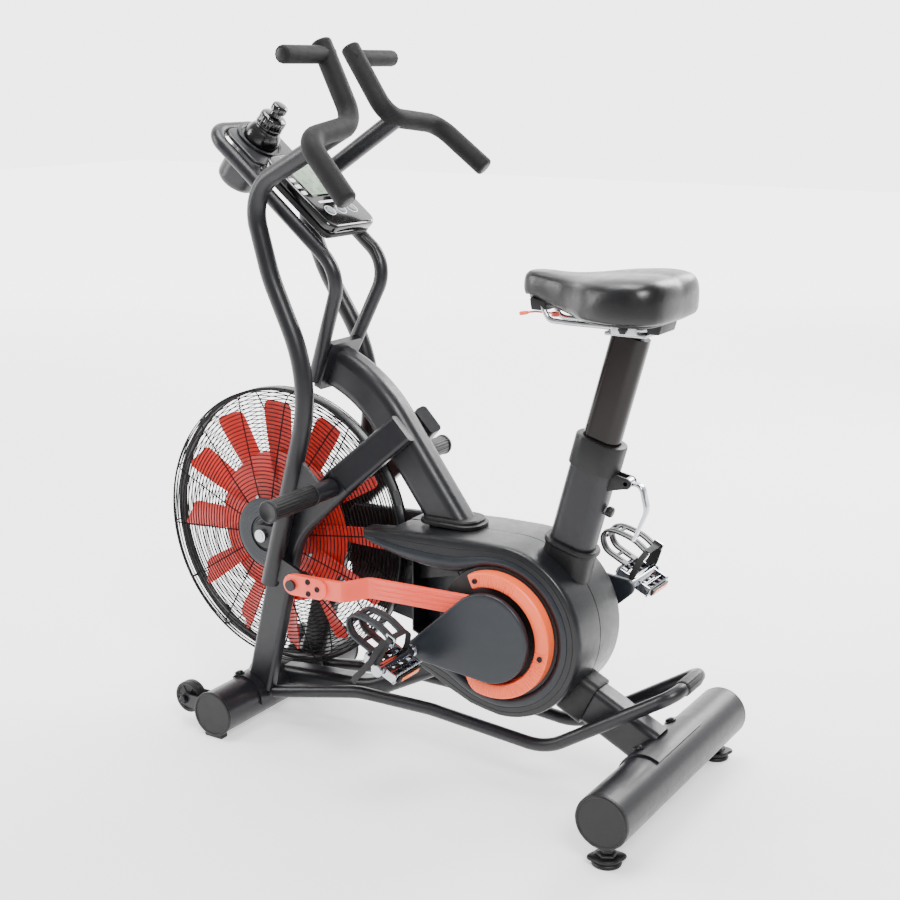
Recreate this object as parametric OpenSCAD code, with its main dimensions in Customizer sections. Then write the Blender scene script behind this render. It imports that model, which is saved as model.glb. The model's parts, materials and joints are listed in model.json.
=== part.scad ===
// Air bike: a fan bike with moving arms. Front is -X, the rider's left is -Y, up is +Z.
// Lengths are millimetres. Modules measure x back from the rear foot tube's axis; at_row() centres it.

/* [Feet] */
// Radius of the rear foot tube
rear_foot_r = 50; // [40:1:55]
// Length of the rear foot tube
rear_foot_len = 536; // [480:1:600]
// Height of the rear foot tube's axis
rear_foot_z = 88; // [80:1:100]
// Radius of the front foot tube
front_foot_r = 45; // [38:1:48]
// Length of the front foot tube
front_foot_len = 448; // [400:1:480]
// How far the front foot tube is ahead of the rear one
wheelbase = 897; // [880:1:915]

/* [Fan] */
// Radius of the fan cage
cage_r = 291; // [270:1:295]
// Height of the fan's axis
fan_z = 400; // [395:1:410]
// Number of fan blades
blade_count = 12; // [8:1:14]

/* [Crank] */
// Length of a pedal crank
crank_len = 170; // [160:1:175]
// Radius of the round crank cover
crank_disc_r = 86; // [80:1:88]
// Throw of the pin that drives the push rod
pin_throw = 50; // [40:1:50]
// Radius of the drive pulley
drive_r = 80; // [60:1:90]
// Radius of the fan pulley
fan_pulley_r = 22; // [18:1:26]

/* [Arms] */
// Distance of an arm's tube from the middle plane
arm_y = 125; // [125:1:135]
// Diameter of an arm's tube
arm_d = 36; // [30:1:36]
// Degrees that the right arm stands ahead of the left one
arm_lead = 8; // [0:1:12]

/* [Seat] */
// Lean of the seat tube
seat_lean = 15; // [12:1:16]
// Length of seat post that shows above the collar
post_show = 212; // [150:1:240]

/* [Hidden] */
$fn = 48;

fan_x = -864.5;
rail_back = 38;
sleeve_r = 15.5;
shift_x = (cage_r - fan_x - rail_back - sleeve_r) / 2;
cap_t = 6;
foot_y = 240;
front_foot_x = -wheelbase;
front_foot_z = front_foot_r + 6;
wheel_x = front_foot_x - 85;
wheel_y = 188;
wheel_z = 60;
wheel_r = 33;
wheel_bolt_r = 5;

leg_y = 89;
beam_round = 14;
spine_path = [[-724, 0, 750.5], [-644, 0, 721], [-350, 0, 324]];
spine_bends = [280];
bottom_path = [[-880, 0, 70], [-650, 0, 88], [-330, 0, 262]];
rear_path = [[-25, 0, 112], [-290, 0, 241]];
leg_path = [[-874, 0, 76], [-783, 0, 430], [-655, 0, 550]];
leg_tip = [-545, -44, 656];
leg_overlap = 3.3;
hoop_path = [[-752, -45.5, 728], [-660, -79, 946], [-968, -80, 1202],
    [-968, 80, 1202], [-660, 79, 946], [-752, 45.5, 728]];
rail_path = [[-840, -90, 66], [-640, -70, 104], [-470, -66, 106], [-215, -66, 88], [rail_back, -66, 252],
    [rail_back, 66, 252], [-215, 66, 88], [-470, 66, 106], [-640, 70, 104], [-840, 90, 66]];
bend_lip = 0.15;
bend_tuck = 2;
web_step = 0.15;

crank = [-310, 306];
crank_tilt = 199;
pin_tilt = 101.5;
axle_r = 10;
running_gap = 0.05;
case_y = 85;
crescent_y = 113;
lobe = [-308, 305];
lobe_r = 168;
wall = 3;
belt_y = 58;
belt_w = 10;
belt_gap = 0.3;
belt_t = 3;
belt_run = norm([fan_x, fan_z] - crank);
belt_tilt = atan2(fan_z - crank.y, fan_x - crank.x);
idler_r = 34;
idler_at = [belt_run / 2, (drive_r + fan_pulley_r) / 2 - idler_r];
idler_point = crank + turned(idler_at, belt_tilt);
idler_weld = [-405, 395];
idler_bolt_r = 6;
fan_axle_r = 8;
guard_left = [[288, 8], [270, 30], [150, 58], [44, 66]];
guard_right = [[288, 8], [270, 24], [150, 44], [44, 52]];

peg = [-672, 534];
pivot_r = 12;
link_pivot = [-730, 342];
link_bolt_r = 6;
link_len = 410;
link_h = 40;
left_pin = crank + pin_throw * [cos(pin_tilt), sin(pin_tilt)];
right_pin = crank - pin_throw * [cos(pin_tilt), sin(pin_tilt)];
right_pivot = peg + turned(link_pivot - peg, arm_lead);
arm_crook = [-835, -arm_y, 1095];
arm_end = [-590, -arm_y - 25, 1218];

seat_top = [-150, 0, 668];
post_w = 58;
post_t = 32;
post_top = seat_top + post_show * [sin(seat_lean), 0, cos(seat_lean)];
rail_z = post_top.z + 13;
rail_r = 5;
rail_y = 24;
lever_pin = [-246, 0, rail_z + 5];
lever_at = [-93, 0, 606];
knob_z = -112;
console_tilt = 39;
console_at = [-690, 0, 1015];
cup_x = 273;
button_x = 45;
button_gap = 35;

frame_black = [0.13, 0.13, 0.15];
trim_black = [0.05, 0.05, 0.06];
slate = [0.2, 0.22, 0.25];
steel = [0.75, 0.76, 0.78];
coral = [0.95, 0.35, 0.28];
orange = [1, 0.45, 0.25];

function unit(v) = v / norm(v);
function turned(v, a) = [v.x * cos(a) - v.y * sin(a), v.x * sin(a) + v.y * cos(a)];
function along(p, i) = unit(p[i + 1] - p[i]);
function turn_axis(p, i) = unit(cross(along(p, i - 1), along(p, i)));
function turn_deg(p, i) = acos(along(p, i - 1) * along(p, i));
function is_end(p, i) = i == 0 || i == len(p) - 1;
function setback(p, b, i) = is_end(p, i) ? 0 : b[i - 1] * tan(turn_deg(p, i) / 2);
function tuck(p, i) = is_end(p, i) ? 0 : bend_tuck;

module at_row() translate([shift_x, 0, 0]) children();

// Children with local X along x and local Z along z, at point o
module frame_at(o, x, z) {
    y = cross(z, x);
    multmatrix([[x.x, y.x, z.x, o.x], [x.y, y.y, z.y, o.y], [x.z, y.z, z.z, o.z], [0, 0, 0, 1]])
        children();
}

// A bar of the child's cross-section along points p, with a bend of radius b[i - 1] at each inner point.
// Each bend is a sleeve that is bend_lip larger than the straights that run into it.
module bent(p, b = []) {
    n = len(p);
    for (i = [0:n - 2]) {
        d = along(p, i);
        k = n == 2 ? [0, 1, 0] : turn_axis(p, min(max(i, 1), n - 2));
        start = setback(p, b, i) - tuck(p, i);
        end = norm(p[i + 1] - p[i]) - setback(p, b, i + 1) + tuck(p, i + 1);
        frame_at(p[i] + d * start, unit(cross(d, k)), d)
            let ($lip = 0) linear_extrude(end - start) children();
    }
    for (i = [1:1:n - 2]) {
        d = along(p, i - 1);
        k = turn_axis(p, i);
        inward = cross(k, d);
        frame_at(p[i] - d * setback(p, b, i) + inward * b[i - 1], -inward, k)
            let ($lip = bend_lip) rotate_extrude(angle = turn_deg(p, i))
                translate([b[i - 1], 0]) children();
    }
}

module round_bar(r) circle(r + $lip);

module rounded(w, h, r) {
    square([w - 2 * r, h], center = true);
    square([w, h - 2 * r], center = true);
    for (sx = [-1, 1], sy = [-1, 1]) {
        translate([sx * (w / 2 - r), sy * (h / 2 - r)]) circle(r);
    }
}

module rect_bar(w, h, r = beam_round) rounded(w + 2 * $lip, h + 2 * $lip, r);

// The spine's section, t larger all round
module spine_bar(t = 0) bent(spine_path, spine_bends) rect_bar(82 + 2 * t, 60 + 2 * t, 22 + t);

// Two circles a distance d apart, joined by a web just inside their outer tangents
module strap(r1, r2, d) {
    a = acos((r1 - r2) / d);
    p1 = (r1 - web_step) * [cos(a), sin(a)];
    p2 = (r2 - web_step) * [cos(a), sin(a)];
    circle(r1);
    translate([d, 0]) circle(r2);
    polygon([p1, [d + p2.x, p2.y], [d + p2.x, -p2.y], [p1.x, -p1.y]]);
}

// A slab of a side-view outline between y0 and y1
module slab(y0, y1) translate([0, y1, 0]) rotate([90, 0, 0]) linear_extrude(y1 - y0) children();

// A round bar along Y
module cross_rod(at, r, y0, y1) slab(y0, y1) translate(at) circle(r);

module both_sides() {
    children();
    mirror([0, 1, 0]) children();
}

module on_seat() translate(seat_top) rotate([0, seat_lean, 0]) children();

module on_console() {
    up = [sin(console_tilt), 0, cos(console_tilt)];
    frame_at(console_at, [-cos(console_tilt), 0, sin(console_tilt)], up) children();
}

// Feet

module rear_foot_tube() color(frame_black) at_row() {
    inner = rear_foot_r - 3.5;
    half = rear_foot_len / 2 - cap_t;
    difference() {
        cross_rod([0, rear_foot_z], rear_foot_r, -half, half);
        cross_rod([0, rear_foot_z], inner, -half - 1, half + 1);
        for (y = [-foot_y, foot_y]) translate([0, y, 0]) cylinder(h = rear_foot_z, r = 6.4);
    }
}

module front_foot_tube() color(frame_black) at_row() {
    half = front_foot_len / 2 - cap_t;
    difference() {
        cross_rod([front_foot_x, front_foot_z], front_foot_r, -half, half);
        cross_rod([front_foot_x, front_foot_z], front_foot_r - 3.5, -half - 1, half + 1);
    }
}

module foot_end_caps() color(trim_black) at_row() both_sides() {
    rear = rear_foot_len / 2;
    front = front_foot_len / 2;
    cross_rod([0, rear_foot_z], rear_foot_r - 0.5, rear - cap_t, rear);
    cross_rod([0, rear_foot_z], rear_foot_r - 4, rear - 14, rear - cap_t + 1);
    cross_rod([front_foot_x, front_foot_z], front_foot_r + 2, front - cap_t, front);
    cross_rod([front_foot_x, front_foot_z], front_foot_r - 4, front - 14, front - cap_t + 1);
    slab(front - cap_t, front + 4) translate([front_foot_x - 32, 0]) square([64, 30]);
}

// A plate curved over a foot tube, from angle a0 to a1 in the side view
module tube_saddle(at, r, a0, a1, y0, y1) {
    translate([at.x, y1, at.y]) rotate([90, 0, 0]) rotate([0, 0, a0])
        rotate_extrude(angle = a1 - a0) translate([r + 0.3, 0]) square([4, y1 - y0]);
}

module foot_brackets() color(frame_black) at_row() {
    tube_saddle([0, rear_foot_z], rear_foot_r, 60, 200, -95, 95);
    both_sides() {
        tube_saddle([front_foot_x, front_foot_z], front_foot_r, -5, 125, 56, 124);
        for (y = [wheel_y - 21, wheel_y + 17]) {
            difference() {
                slab(y, y + 4) translate([wheel_x, wheel_z]) rotate(-6) strap(12, 18, 50);
                cross_rod([front_foot_x, front_foot_z], front_foot_r + 0.2, y - 1, y + 5);
                cross_rod([wheel_x, wheel_z], wheel_bolt_r + 0.1, y - 1, y + 5);
            }
        }
    }
}

// A button-head bolt that stands on a foot tube at angle a in the side view
module foot_bolt(at, r, a, y) {
    translate([at.x, y, at.y]) rotate([0, 90 - a, 0]) translate([0, 0, r + 4.4]) {
        cylinder(h = 3, r = 10);
        cylinder(h = 8, r = 7);
    }
}

module foot_bolts() color(trim_black) at_row() both_sides() {
    foot_bolt([0, rear_foot_z], rear_foot_r, 118, 70);
    for (y = [64, 114]) foot_bolt([front_foot_x, front_foot_z], front_foot_r, 110, y);
    cross_rod([wheel_x, wheel_z], wheel_bolt_r, wheel_y - 25, wheel_y + 25);
    for (y = [wheel_y - 27, wheel_y + 22]) cross_rod([wheel_x, wheel_z], 8, y, y + 5);
}

module levelling_foot(y) color(trim_black) at_row() translate([0, y, 0]) {
    cylinder(h = 9, r = 28);
    cylinder(h = 16, r = 20);
    for (a = [0, 180]) rotate([0, 0, a + 35]) translate([26, 0, 0]) cylinder(h = 14, r = 9);
    cylinder(h = 34, r = 11);
    cylinder(h = 58, r = 6);
}

module foot_left() levelling_foot(-foot_y);
module foot_right() levelling_foot(foot_y);

module transport_wheel(y) color(trim_black) at_row() translate([wheel_x, y, wheel_z]) rotate([90, 0, 0]) {
    difference() {
        union() {
            translate([0, 0, -12]) cylinder(h = 24, r = wheel_r);
            translate([0, 0, -15]) cylinder(h = 30, r = 12);
        }
        for (s = [-1, 1]) translate([0, 0, s * 17 - 10]) {
            difference() {
                cylinder(h = 20, r = wheel_r - 7);
                translate([0, 0, -1]) cylinder(h = 22, r = 12);
                for (a = [0:60:300]) rotate([0, 0, a]) translate([0, -2.5, -1]) cube([wheel_r, 5, 22]);
            }
        }
        translate([0, 0, -20]) cylinder(h = 40, r = wheel_bolt_r + running_gap);
    }
}

module wheel_left() transport_wheel(-wheel_y);
module wheel_right() transport_wheel(wheel_y);

// Frame

// Each leg runs up to the pivot shaft, then turns in to the side of the spine
module fork_legs() color(frame_black) at_row() both_sides() difference() {
    knee = leg_path[2] - leg_overlap * along(leg_path, 1) - [0, leg_y, 0];
    union() {
        translate([0, -leg_y, 0]) bent(leg_path, [170]) rect_bar(60, 30, 9);
        bent([knee, leg_tip]) rect_bar(59.4, 29.6, 9);
    }
    cross_rod([front_foot_x, front_foot_z], front_foot_r + 4.6, -120, -60);
    cross_rod(peg, pivot_r + 0.1, -120, -60);
    spine_bar(0.3);
}

module spine() color(frame_black) at_row() spine_bar();

module bottom_beam() color(frame_black) at_row() difference() {
    bent(bottom_path, [150]) rect_bar(40, 50);
    cross_rod([front_foot_x, front_foot_z], front_foot_r + 0.3, -40, 40);
}

module rear_beam() color(frame_black) at_row() difference() {
    bent(rear_path) rect_bar(78, 55);
    cross_rod([0, rear_foot_z], rear_foot_r + 4.6, -40, 40);
}

module seat_tube() color(frame_black) at_row() difference() {
    on_seat() difference() {
        translate([0, 0, -420]) linear_extrude(420) rounded(75, 50, 24);
        translate([0, 0, -330]) linear_extrude(331) rounded(post_w + 1, post_t + 1, 15);
        translate([20, 0, knob_z]) rotate([0, 90, 0]) cylinder(h = 30, r = 6.4);
    }
}

// Welded plates: fan dropouts, hoop bracket, idler bracket
module frame_plates() color(frame_black) at_row() {
    both_sides() difference() {
        slab(80, 86) translate([fan_x, fan_z]) rotate(-3) strap(22, 26, 74);
        cross_rod([fan_x, fan_z], fan_axle_r + 0.1, 79, 87);
    }
    both_sides() slab(86, 90) translate([fan_x + 50, fan_z - 24]) square([30, 42]);
    way = along(spine_path, 0);
    frame_at(spine_path[0] - way * 14, cross(way, [0, 1, 0]), way)
        linear_extrude(15) translate([5, 0]) rounded(98, 100, 8);
    slab(29.5, 36) idler_plate(0);
    cross_rod(idler_point, idler_bolt_r, 30, belt_y + belt_w + 1.5);
}

// Plate from the bottom beam to the idler's bolt, t larger all round
module idler_plate(t) {
    way = idler_point - idler_weld;
    translate(idler_weld) rotate(atan2(way.y, way.x)) strap(24 + t, 14 + t, norm(way));
}

// One of the two lugs that hold the quick lever's pin
module clamp_ear(y) slab(y, y + 5) translate([lever_at.x, lever_at.z])
    rotate(180 - seat_lean) strap(9, 13, 34);

// Moulded collars: around the spine, the rear beam, the seat tube's foot and its top
module frame_collars() color(trim_black) at_row() {
    difference() {
        translate([-457, 0, 473]) {
            linear_extrude(8) rounded(150, 92, 34);
            linear_extrude(15) rounded(136, 80, 30);
        }
        spine_bar(0.3);
    }
    rear_way = along(rear_path, 0);
    rear_side = cross(rear_way, [0, 1, 0]);
    frame_at(rear_path[0] + rear_way * 138, rear_side, rear_way) difference() {
        linear_extrude(55) rounded(90, 67, 18);
        translate([0, 0, -1]) linear_extrude(60) rounded(78.6, 55.6, beam_round);
    }
    on_seat() difference() {
        union() {
            translate([0, 0, -300]) linear_extrude(97) rounded(84, 59, 28);
            translate([0, 0, -204]) linear_extrude(8) rounded(90, 65, 30);
        }
        translate([0, 0, -301]) linear_extrude(120) rounded(75.6, 50.6, 24.3);
    }
    difference() {
        on_seat() translate([0, 0, -46]) linear_extrude(58) rounded(83, 58, 27);
        on_seat() translate([0, 0, -47]) linear_extrude(47.2) rounded(75.6, 50.6, 24.3);
        on_seat() translate([0, 0, -1]) linear_extrude(20) rounded(post_w + 1, post_t + 1, 15);
    }
    difference() {
        union() {
            clamp_ear(-14);
            clamp_ear(9);
        }
        on_seat() translate([0, 0, -100]) linear_extrude(120) rounded(75.6, 50.6, 24.3);
    }
    cross_rod([lever_at.x, lever_at.z], 4, -14, 14);
}

module lift_rail() color(frame_black) at_row()
    bent(rail_path, [200, 200, 120, 32, 32, 120, 200, 200]) round_bar(12.5);

// Rubber grips on the pivot shaft's ends, and the sleeve on the lift handle
module frame_grips() color(trim_black) at_row() {
    both_sides() difference() {
        cross_rod(peg, 20, 168, 300);
        cross_rod(peg, pivot_r + 0.1, 167, 296);
    }
    difference() {
        cross_rod([rail_back, 252], sleeve_r, -30, 30);
        cross_rod([rail_back, 252], 12.6, -31, 31);
    }
}

// Stub shafts that stand out of the fork legs
module pivot_axle() color(steel) at_row() both_sides() cross_rod(peg, pivot_r, leg_y - 14.5, 295.5);

module crank_housing() color(frame_black) at_row() difference() {
    cross_rod(crank, 30, -36, 36);
    cross_rod(crank, 20, -37, 37);
}

module crank_bearings() color(steel) at_row() both_sides() difference() {
    cross_rod(crank, 19.9, 24, 35);
    cross_rod(crank, axle_r + running_gap, 23, 36);
}

// Belt case

// Side outline of the left case half, drawn in by t
module left_outline(t) {
    translate(lobe) circle(lobe_r - t);
    polygon([[lobe.x, lobe.y + lobe_r - t], [-470, 468 - t], [-620 + 2 * t, 458 - t],
        [-600 + t, 434 + t], [-527, 412 + t], [-380, 400 + t]]);
    polygon([[lobe.x, lobe.y - lobe_r + t], [-369, 147 + t], [-426, 169 + t], [-505 + t, 208 + t],
        [-496 + t, 226 - t], [-430, 240 - t], [-380, 260 - t]]);
}

// Side outline of the right case half, drawn in by t
module right_outline(t) {
    translate(lobe) circle(lobe_r - t);
    polygon([[lobe.x, lobe.y + lobe_r - t], [-470, 468 - t], [-745 + t, 452 - t], [-745 + t, 250 + t],
        [-505, 208 + t], [-426, 169 + t], [-369, 147 + t], [lobe.x, lobe.y - lobe_r + t]]);
}

// Room for the beams that run into the case
module beam_room() {
    spine_bar(0.7);
    bent(bottom_path, [150]) rect_bar(41.4, 51.4);
    bent(rear_path) rect_bar(91, 68);
    on_seat() translate([0, 0, -430]) linear_extrude(300) rounded(85, 60, 28);
}

module case_left() color(slate) at_row() difference() {
    union() {
        slab(-case_y, -0.1) intersection() {
            left_outline(0);
            translate([-560, 0]) square([600, 600]);
        }
        slab(-case_y, -50) left_outline(0);
        slab(-case_y - 4, -case_y + 1) difference() {
            translate(lobe) circle(lobe_r - 8);
            translate(lobe) circle(lobe_r - 36);
            translate([lobe.x - 200, lobe.y - 110]) square([200, 215]);
        }
    }
    slab(-case_y + wall, 1) intersection() {
        left_outline(wall);
        translate([-560 + wall, 0]) square([600, 600]);
    }
    slab(-case_y + wall, -50 - wall) left_outline(wall);
    slab(-case_y - 5, 1)
        polygon([[-490, 404], [-400, 402], [-388, 370], [-385, 270], [-400, 250], [-490, 236]]);
    cross_rod(crank, 18, -case_y - 5, 1);
    beam_room();
}

module case_right() color(slate) at_row() difference() {
    union() {
        slab(0.1, case_y) intersection() {
            right_outline(0);
            translate([-560, 0]) square([600, 600]);
        }
        slab(54, 73) right_outline(0);
    }
    slab(-1, case_y - wall) intersection() {
        right_outline(wall);
        translate([-560 + wall, 0]) square([600, 600]);
    }
    slab(54 + wall - 0.5, 73 - wall + 0.5) translate([-20, 0]) right_outline(wall);
    slab(28, 37.5) idler_plate(1.5);
    cross_rod(idler_point, idler_bolt_r + 1, 36, belt_y);
    cross_rod(crank, 18, -1, case_y + 1);
    beam_room();
}

module case_screws() color(trim_black) at_row() both_sides() {
    for (a = [-12, 108]) {
        cross_rod(crank + 107 * [cos(a), sin(a)], 5, crescent_y + 0.2, crescent_y + 3);
    }
}

module crescent() difference() {
    circle(121);
    circle(92);
    polygon([[0, 0], [200 * cos(115), 200 * sin(115)], [-200, 60], [-200, -60],
        [200 * cos(233), 200 * sin(233)]]);
}

// Ribbed crescents on the case, open where the push rods sweep
module crescent_guards() color(orange) at_row() both_sides() {
    slab(case_y + 4.2, crescent_y) translate(crank) crescent();
}

// Fan

// Height of a guard's surface at radius r
function guard_at(g, r) = lookup(r, g);

// Wire guard: concentric rings and ribs that follow the profile g
module guard(g) {
    wire = 4;
    for (r = [288, 262, 226, 190, 154, 118, 82, 46]) {
        rotate_extrude() translate([r - wire / 2, guard_at(g, r) - wire / 2]) square(wire);
    }
    for (a = [0:45:315]) rotate([0, 0, a + 12]) rotate([90, 0, 0]) translate([0, 0, -wire / 2])
        linear_extrude(wire) polygon(concat([for (p = g) [p.x, p.y - 1]],
            [for (i = [len(g) - 1:-1:0]) [g[i].x, g[i].y + 1.6]]));
}

module on_fan() translate([fan_x, 0, fan_z]) rotate([90, 0, 0]) children();

module fan_guards() color(trim_black) at_row() {
    on_fan() guard(guard_left);
    on_fan() mirror([0, 0, 1]) guard(guard_right);
    on_fan() translate([0, 0, -9]) difference() {
        cylinder(h = 18, r = cage_r);
        translate([0, 0, -1]) cylinder(h = 20, r = cage_r - 4);
    }
}

module hub_covers() color(slate) at_row() {
    on_fan() difference() {
        union() {
            translate([0, 0, 68]) cylinder(h = 3, r = 70);
            translate([0, 0, 68]) cylinder(h = 5.7, r = 58);
        }
        translate([0, 0, 60]) cylinder(h = 20, r = fan_axle_r + 0.1);
    }
    on_fan() difference() {
        translate([0, 0, -73.5]) cylinder(h = 3, r = 48);
        translate([0, 0, -76]) cylinder(h = 6, r = fan_axle_r + 0.1);
    }
}

module fan_axle() color(steel) at_row() {
    cross_rod([fan_x, fan_z], fan_axle_r, -94, 94);
    both_sides() cross_rod([fan_x, fan_z], 13, 86.2, 93);
}

module fan_blade() {
    translate([190, 0, 0]) rotate([24, 0, 0]) translate([0, 0, -1.5]) linear_extrude(3)
        polygon([[-80, -14], [-30, -24], [66, -27], [72, -18], [72, 18], [66, 27], [-30, 24], [-80, 14]]);
}

module fan_wheel() color(coral) at_row() on_fan() translate([0, 0, 8]) difference() {
    union() {
        translate([0, 0, -2]) cylinder(h = 4, r = 150);
        translate([0, 0, -56]) cylinder(h = 96, r = 20);
        cylinder(h = 12, r = 46);
        for (i = [0:blade_count - 1]) rotate([0, 0, i * 360 / blade_count]) fan_blade();
    }
    translate([0, 0, -80]) cylinder(h = 140, r = fan_axle_r + running_gap);
}

module fan_pulley() color(steel) at_row() difference() {
    cross_rod([fan_x, fan_z], fan_pulley_r, belt_y - 0.5, belt_y + belt_w + 1);
    cross_rod([fan_x, fan_z], fan_axle_r + running_gap, belt_y - 1, belt_y + belt_w + 3);
}

module drive_pulley() color(steel) at_row() difference() {
    union() {
        cross_rod(crank, drive_r, belt_y - 1, belt_y + belt_w + 1);
        cross_rod(crank, 22, belt_y - 12, belt_y + belt_w + 6);
    }
    for (a = [0:60:300]) cross_rod(crank + 50 * [cos(a), sin(a)], 16, belt_y - 2, belt_y + belt_w + 2);
    cross_rod(crank, axle_r + 0.02, belt_y - 20, belt_y + 30);
}

module drive_belt() color(trim_black) at_row() slab(belt_y, belt_y + belt_w)
    translate(crank) rotate(belt_tilt) difference() {
        strap(drive_r + belt_gap + belt_t, fan_pulley_r + belt_gap + belt_t, belt_run);
        strap(drive_r + belt_gap, fan_pulley_r + belt_gap, belt_run);
    }

module idler() color(steel) at_row() {
    difference() {
        cross_rod(idler_point, idler_r, belt_y - 1, belt_y + belt_w + 1);
        cross_rod(idler_point, idler_bolt_r + running_gap, belt_y - 2, belt_y + belt_w + 2);
    }
}

// Crank and pedals

module crank_axle() color(steel) at_row() cross_rod(crank, axle_r, -128, 128);

// A crank on the -Y side: round cover, arm to the pedal, hub, and the pin that faces the push rod
module crank_arm(tilt, pin) {
    difference() {
        union() {
            slab(-130, -118) translate(crank) rotate(tilt) strap(crank_disc_r, 17, crank_len);
            cross_rod(crank, 15, -118.5, -90);
            cross_rod(pin, 8, -118.5, -111.5);
        }
        cross_rod(crank, axle_r + 0.02, -128.1, -89);
        cross_rod(crank + crank_len * [cos(tilt), sin(tilt)], 7, -131, -117);
    }
}

module crank_left() color(slate) at_row() crank_arm(crank_tilt, left_pin);
module crank_right() color(slate) at_row() mirror([0, 1, 0]) crank_arm(crank_tilt - 180, right_pin);

// A pedal on the -Y side: axle, body with two cage plates, reflectors, and a toe cage
module pedal(at) {
    translate([at.x, 0, at.y]) rotate([0, 24, 0]) {
        cross_rod([0, 0], 6.95, -250, -118.2);
        difference() {
            cross_rod([0, 0], 13, -246, -138);
            cross_rod([0, 0], 7.05, -247, -137);
        }
        for (s = [-1, 1]) translate([s * 34 - 2, -240, -11]) cube([4, 92, 22]);
        for (y = [-240, -154]) translate([-34, y, -9]) cube([68, 6, 18]);
        for (s = [-1, 1]) translate([s * 38 - 2, -224, -7]) cube([4, 60, 14]);
        for (y = [-226, -176]) translate([0, y, 0]) slab(0, 12) difference() {
            polygon([[-36, 9], [-84, 12], [-104, 26], [-106, 44], [-92, 58], [-40, 66], [-2, 58], [-2, 54],
                [-40, 61], [-89, 53], [-101, 42], [-99, 29], [-82, 17], [-36, 14]]);
        }
        translate([-106, -226, 30]) cube([6, 62, 10]);
        translate([-6, -226, 52]) cube([12, 62, 6]);
    }
}

module pedal_left() color(steel) at_row() pedal(crank + crank_len * [cos(crank_tilt), sin(crank_tilt)]);
module pedal_right() color(steel) at_row() mirror([0, 1, 0])
    pedal(crank - crank_len * [cos(crank_tilt), sin(crank_tilt)]);

// Arms

// The left arm: tube, pivot sleeve, upper web and push-rod bracket
module arm_tube() {
    arm_path = [[-815, -arm_y, 320], [-698, -arm_y, 738], [-790, -arm_y, 935], arm_crook, arm_end];
    difference() {
        union() {
            bent(arm_path, [300, 300, 85]) round_bar(arm_d / 2);
            cross_rod(peg, 19, -164, -107);
            slab(-arm_y - 4, -arm_y + 4)
                polygon([[-750, 588], [-726, 584], [-684, 544], [-684, 524], [-750, 500], [-770, 505]]);
            slab(-arm_y - 4, -arm_y + 4)
                polygon([[-806, 384], [-780, 376], [-722, 352], [-716, 334], [-734, 324], [-815, 330]]);
            cross_rod(link_pivot, 16, -146, -arm_y + 4);
            cross_rod(link_pivot, link_bolt_r, -168, -145);
            cross_rod(link_pivot, 11, -170, -164.8);
        }
        cross_rod(peg, pivot_r + running_gap, -165, -106);
    }
}

// The left handle: foam-covered S bar and the cross grip at its top
module handle() {
    handle_path = [[-662, -124, 1366], [-592, -123, 1222], [-580, -280, 1202], [-486, -292, 1103]];
    difference() {
        union() {
            bent(handle_path, [45, 45]) round_bar(19);
            cross_rod([-650, 1342], 16, -252, -108);
        }
        bent([arm_crook, arm_end]) round_bar(arm_d / 2 + 0.1);
    }
}

// Turns the right side's copy forward about the pivot shaft
module as_right() translate([peg.x, 0, peg.y]) rotate([0, -arm_lead, 0]) translate([-peg.x, 0, -peg.y])
    mirror([0, 1, 0]) children();

module arm_left() color(frame_black) at_row() arm_tube();
module arm_right() color(frame_black) at_row() as_right() arm_tube();
module handle_left() color(trim_black) at_row() handle();
module handle_right() color(trim_black) at_row() as_right() handle();

// A push rod on the -Y side, from its front pivot to its rear eye
module push_rod(from, to) {
    way = to - from;
    translate([from.x, 0, from.y]) rotate([0, -atan2(way.y, way.x), 0]) difference() {
        union() {
            intersection() {
                slab(-170, -90) {
                    circle(link_h / 2);
                    translate([0, -link_h / 2]) square([link_len - 40, link_h]);
                    polygon([[link_len - 41, -link_h / 2], [link_len, -14], [link_len, 14],
                        [link_len - 41, link_h / 2]]);
                    translate([link_len, 0]) circle(15);
                }
                translate([0, 0, -30]) linear_extrude(60) polygon([[-30, -157], [118, -157], [146, -110],
                    [440, -110], [440, -99], [138, -99], [110, -147], [-30, -147]]);
            }
            slab(-163, -156.5) {
                circle(21);
                translate([0, -21]) square([62, 42]);
                translate([62, 0]) circle(21);
            }
            for (p = [[40, 12], [40, -12], [62, 0]]) cross_rod(p, 5, -165.5, -163);
        }
        cross_rod([0, 0], link_bolt_r + running_gap, -171, -140);
        cross_rod([link_len, 0], 8.5, -112, -90);
    }
}

module link_left() color(coral) at_row() push_rod(link_pivot, left_pin);
module link_right() color(coral) at_row() mirror([0, 1, 0]) push_rod(right_pivot, right_pin);

// Seat

module seat_post() color(steel) at_row() on_seat() difference() {
    translate([0, 0, -150]) linear_extrude(150 + post_show) rounded(post_w, post_t, 14.5);
    translate([0, 0, -151]) linear_extrude(140 + post_show) rounded(post_w - 5, post_t - 5, 12);
}

// Clamp block on the post that the saddle's two rails slide through
module post_head() color(trim_black) at_row() difference() {
    translate([post_top.x - 24, -36, post_top.z + 2]) cube([48, 72, 22]);
    for (s = [-1, 1]) translate([post_top.x - 60, s * rail_y, rail_z]) rotate([0, 90, 0])
        cylinder(h = 120, r = rail_r + running_gap);
    on_seat() translate([0, 0, post_show - 12]) linear_extrude(12.2)
        rounded(post_w + 0.4, post_t + 0.4, 14.7);
}

module saddle_plan(t) {
    hull() {
        translate([-281, 0]) circle(28 - t);
        translate([-200, 0]) circle(42 - t);
    }
    hull() {
        translate([-200, 0]) circle(42 - t);
        for (s = [-1, 1]) translate([-70, s * 60]) circle(60 - t);
    }
}

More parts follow.
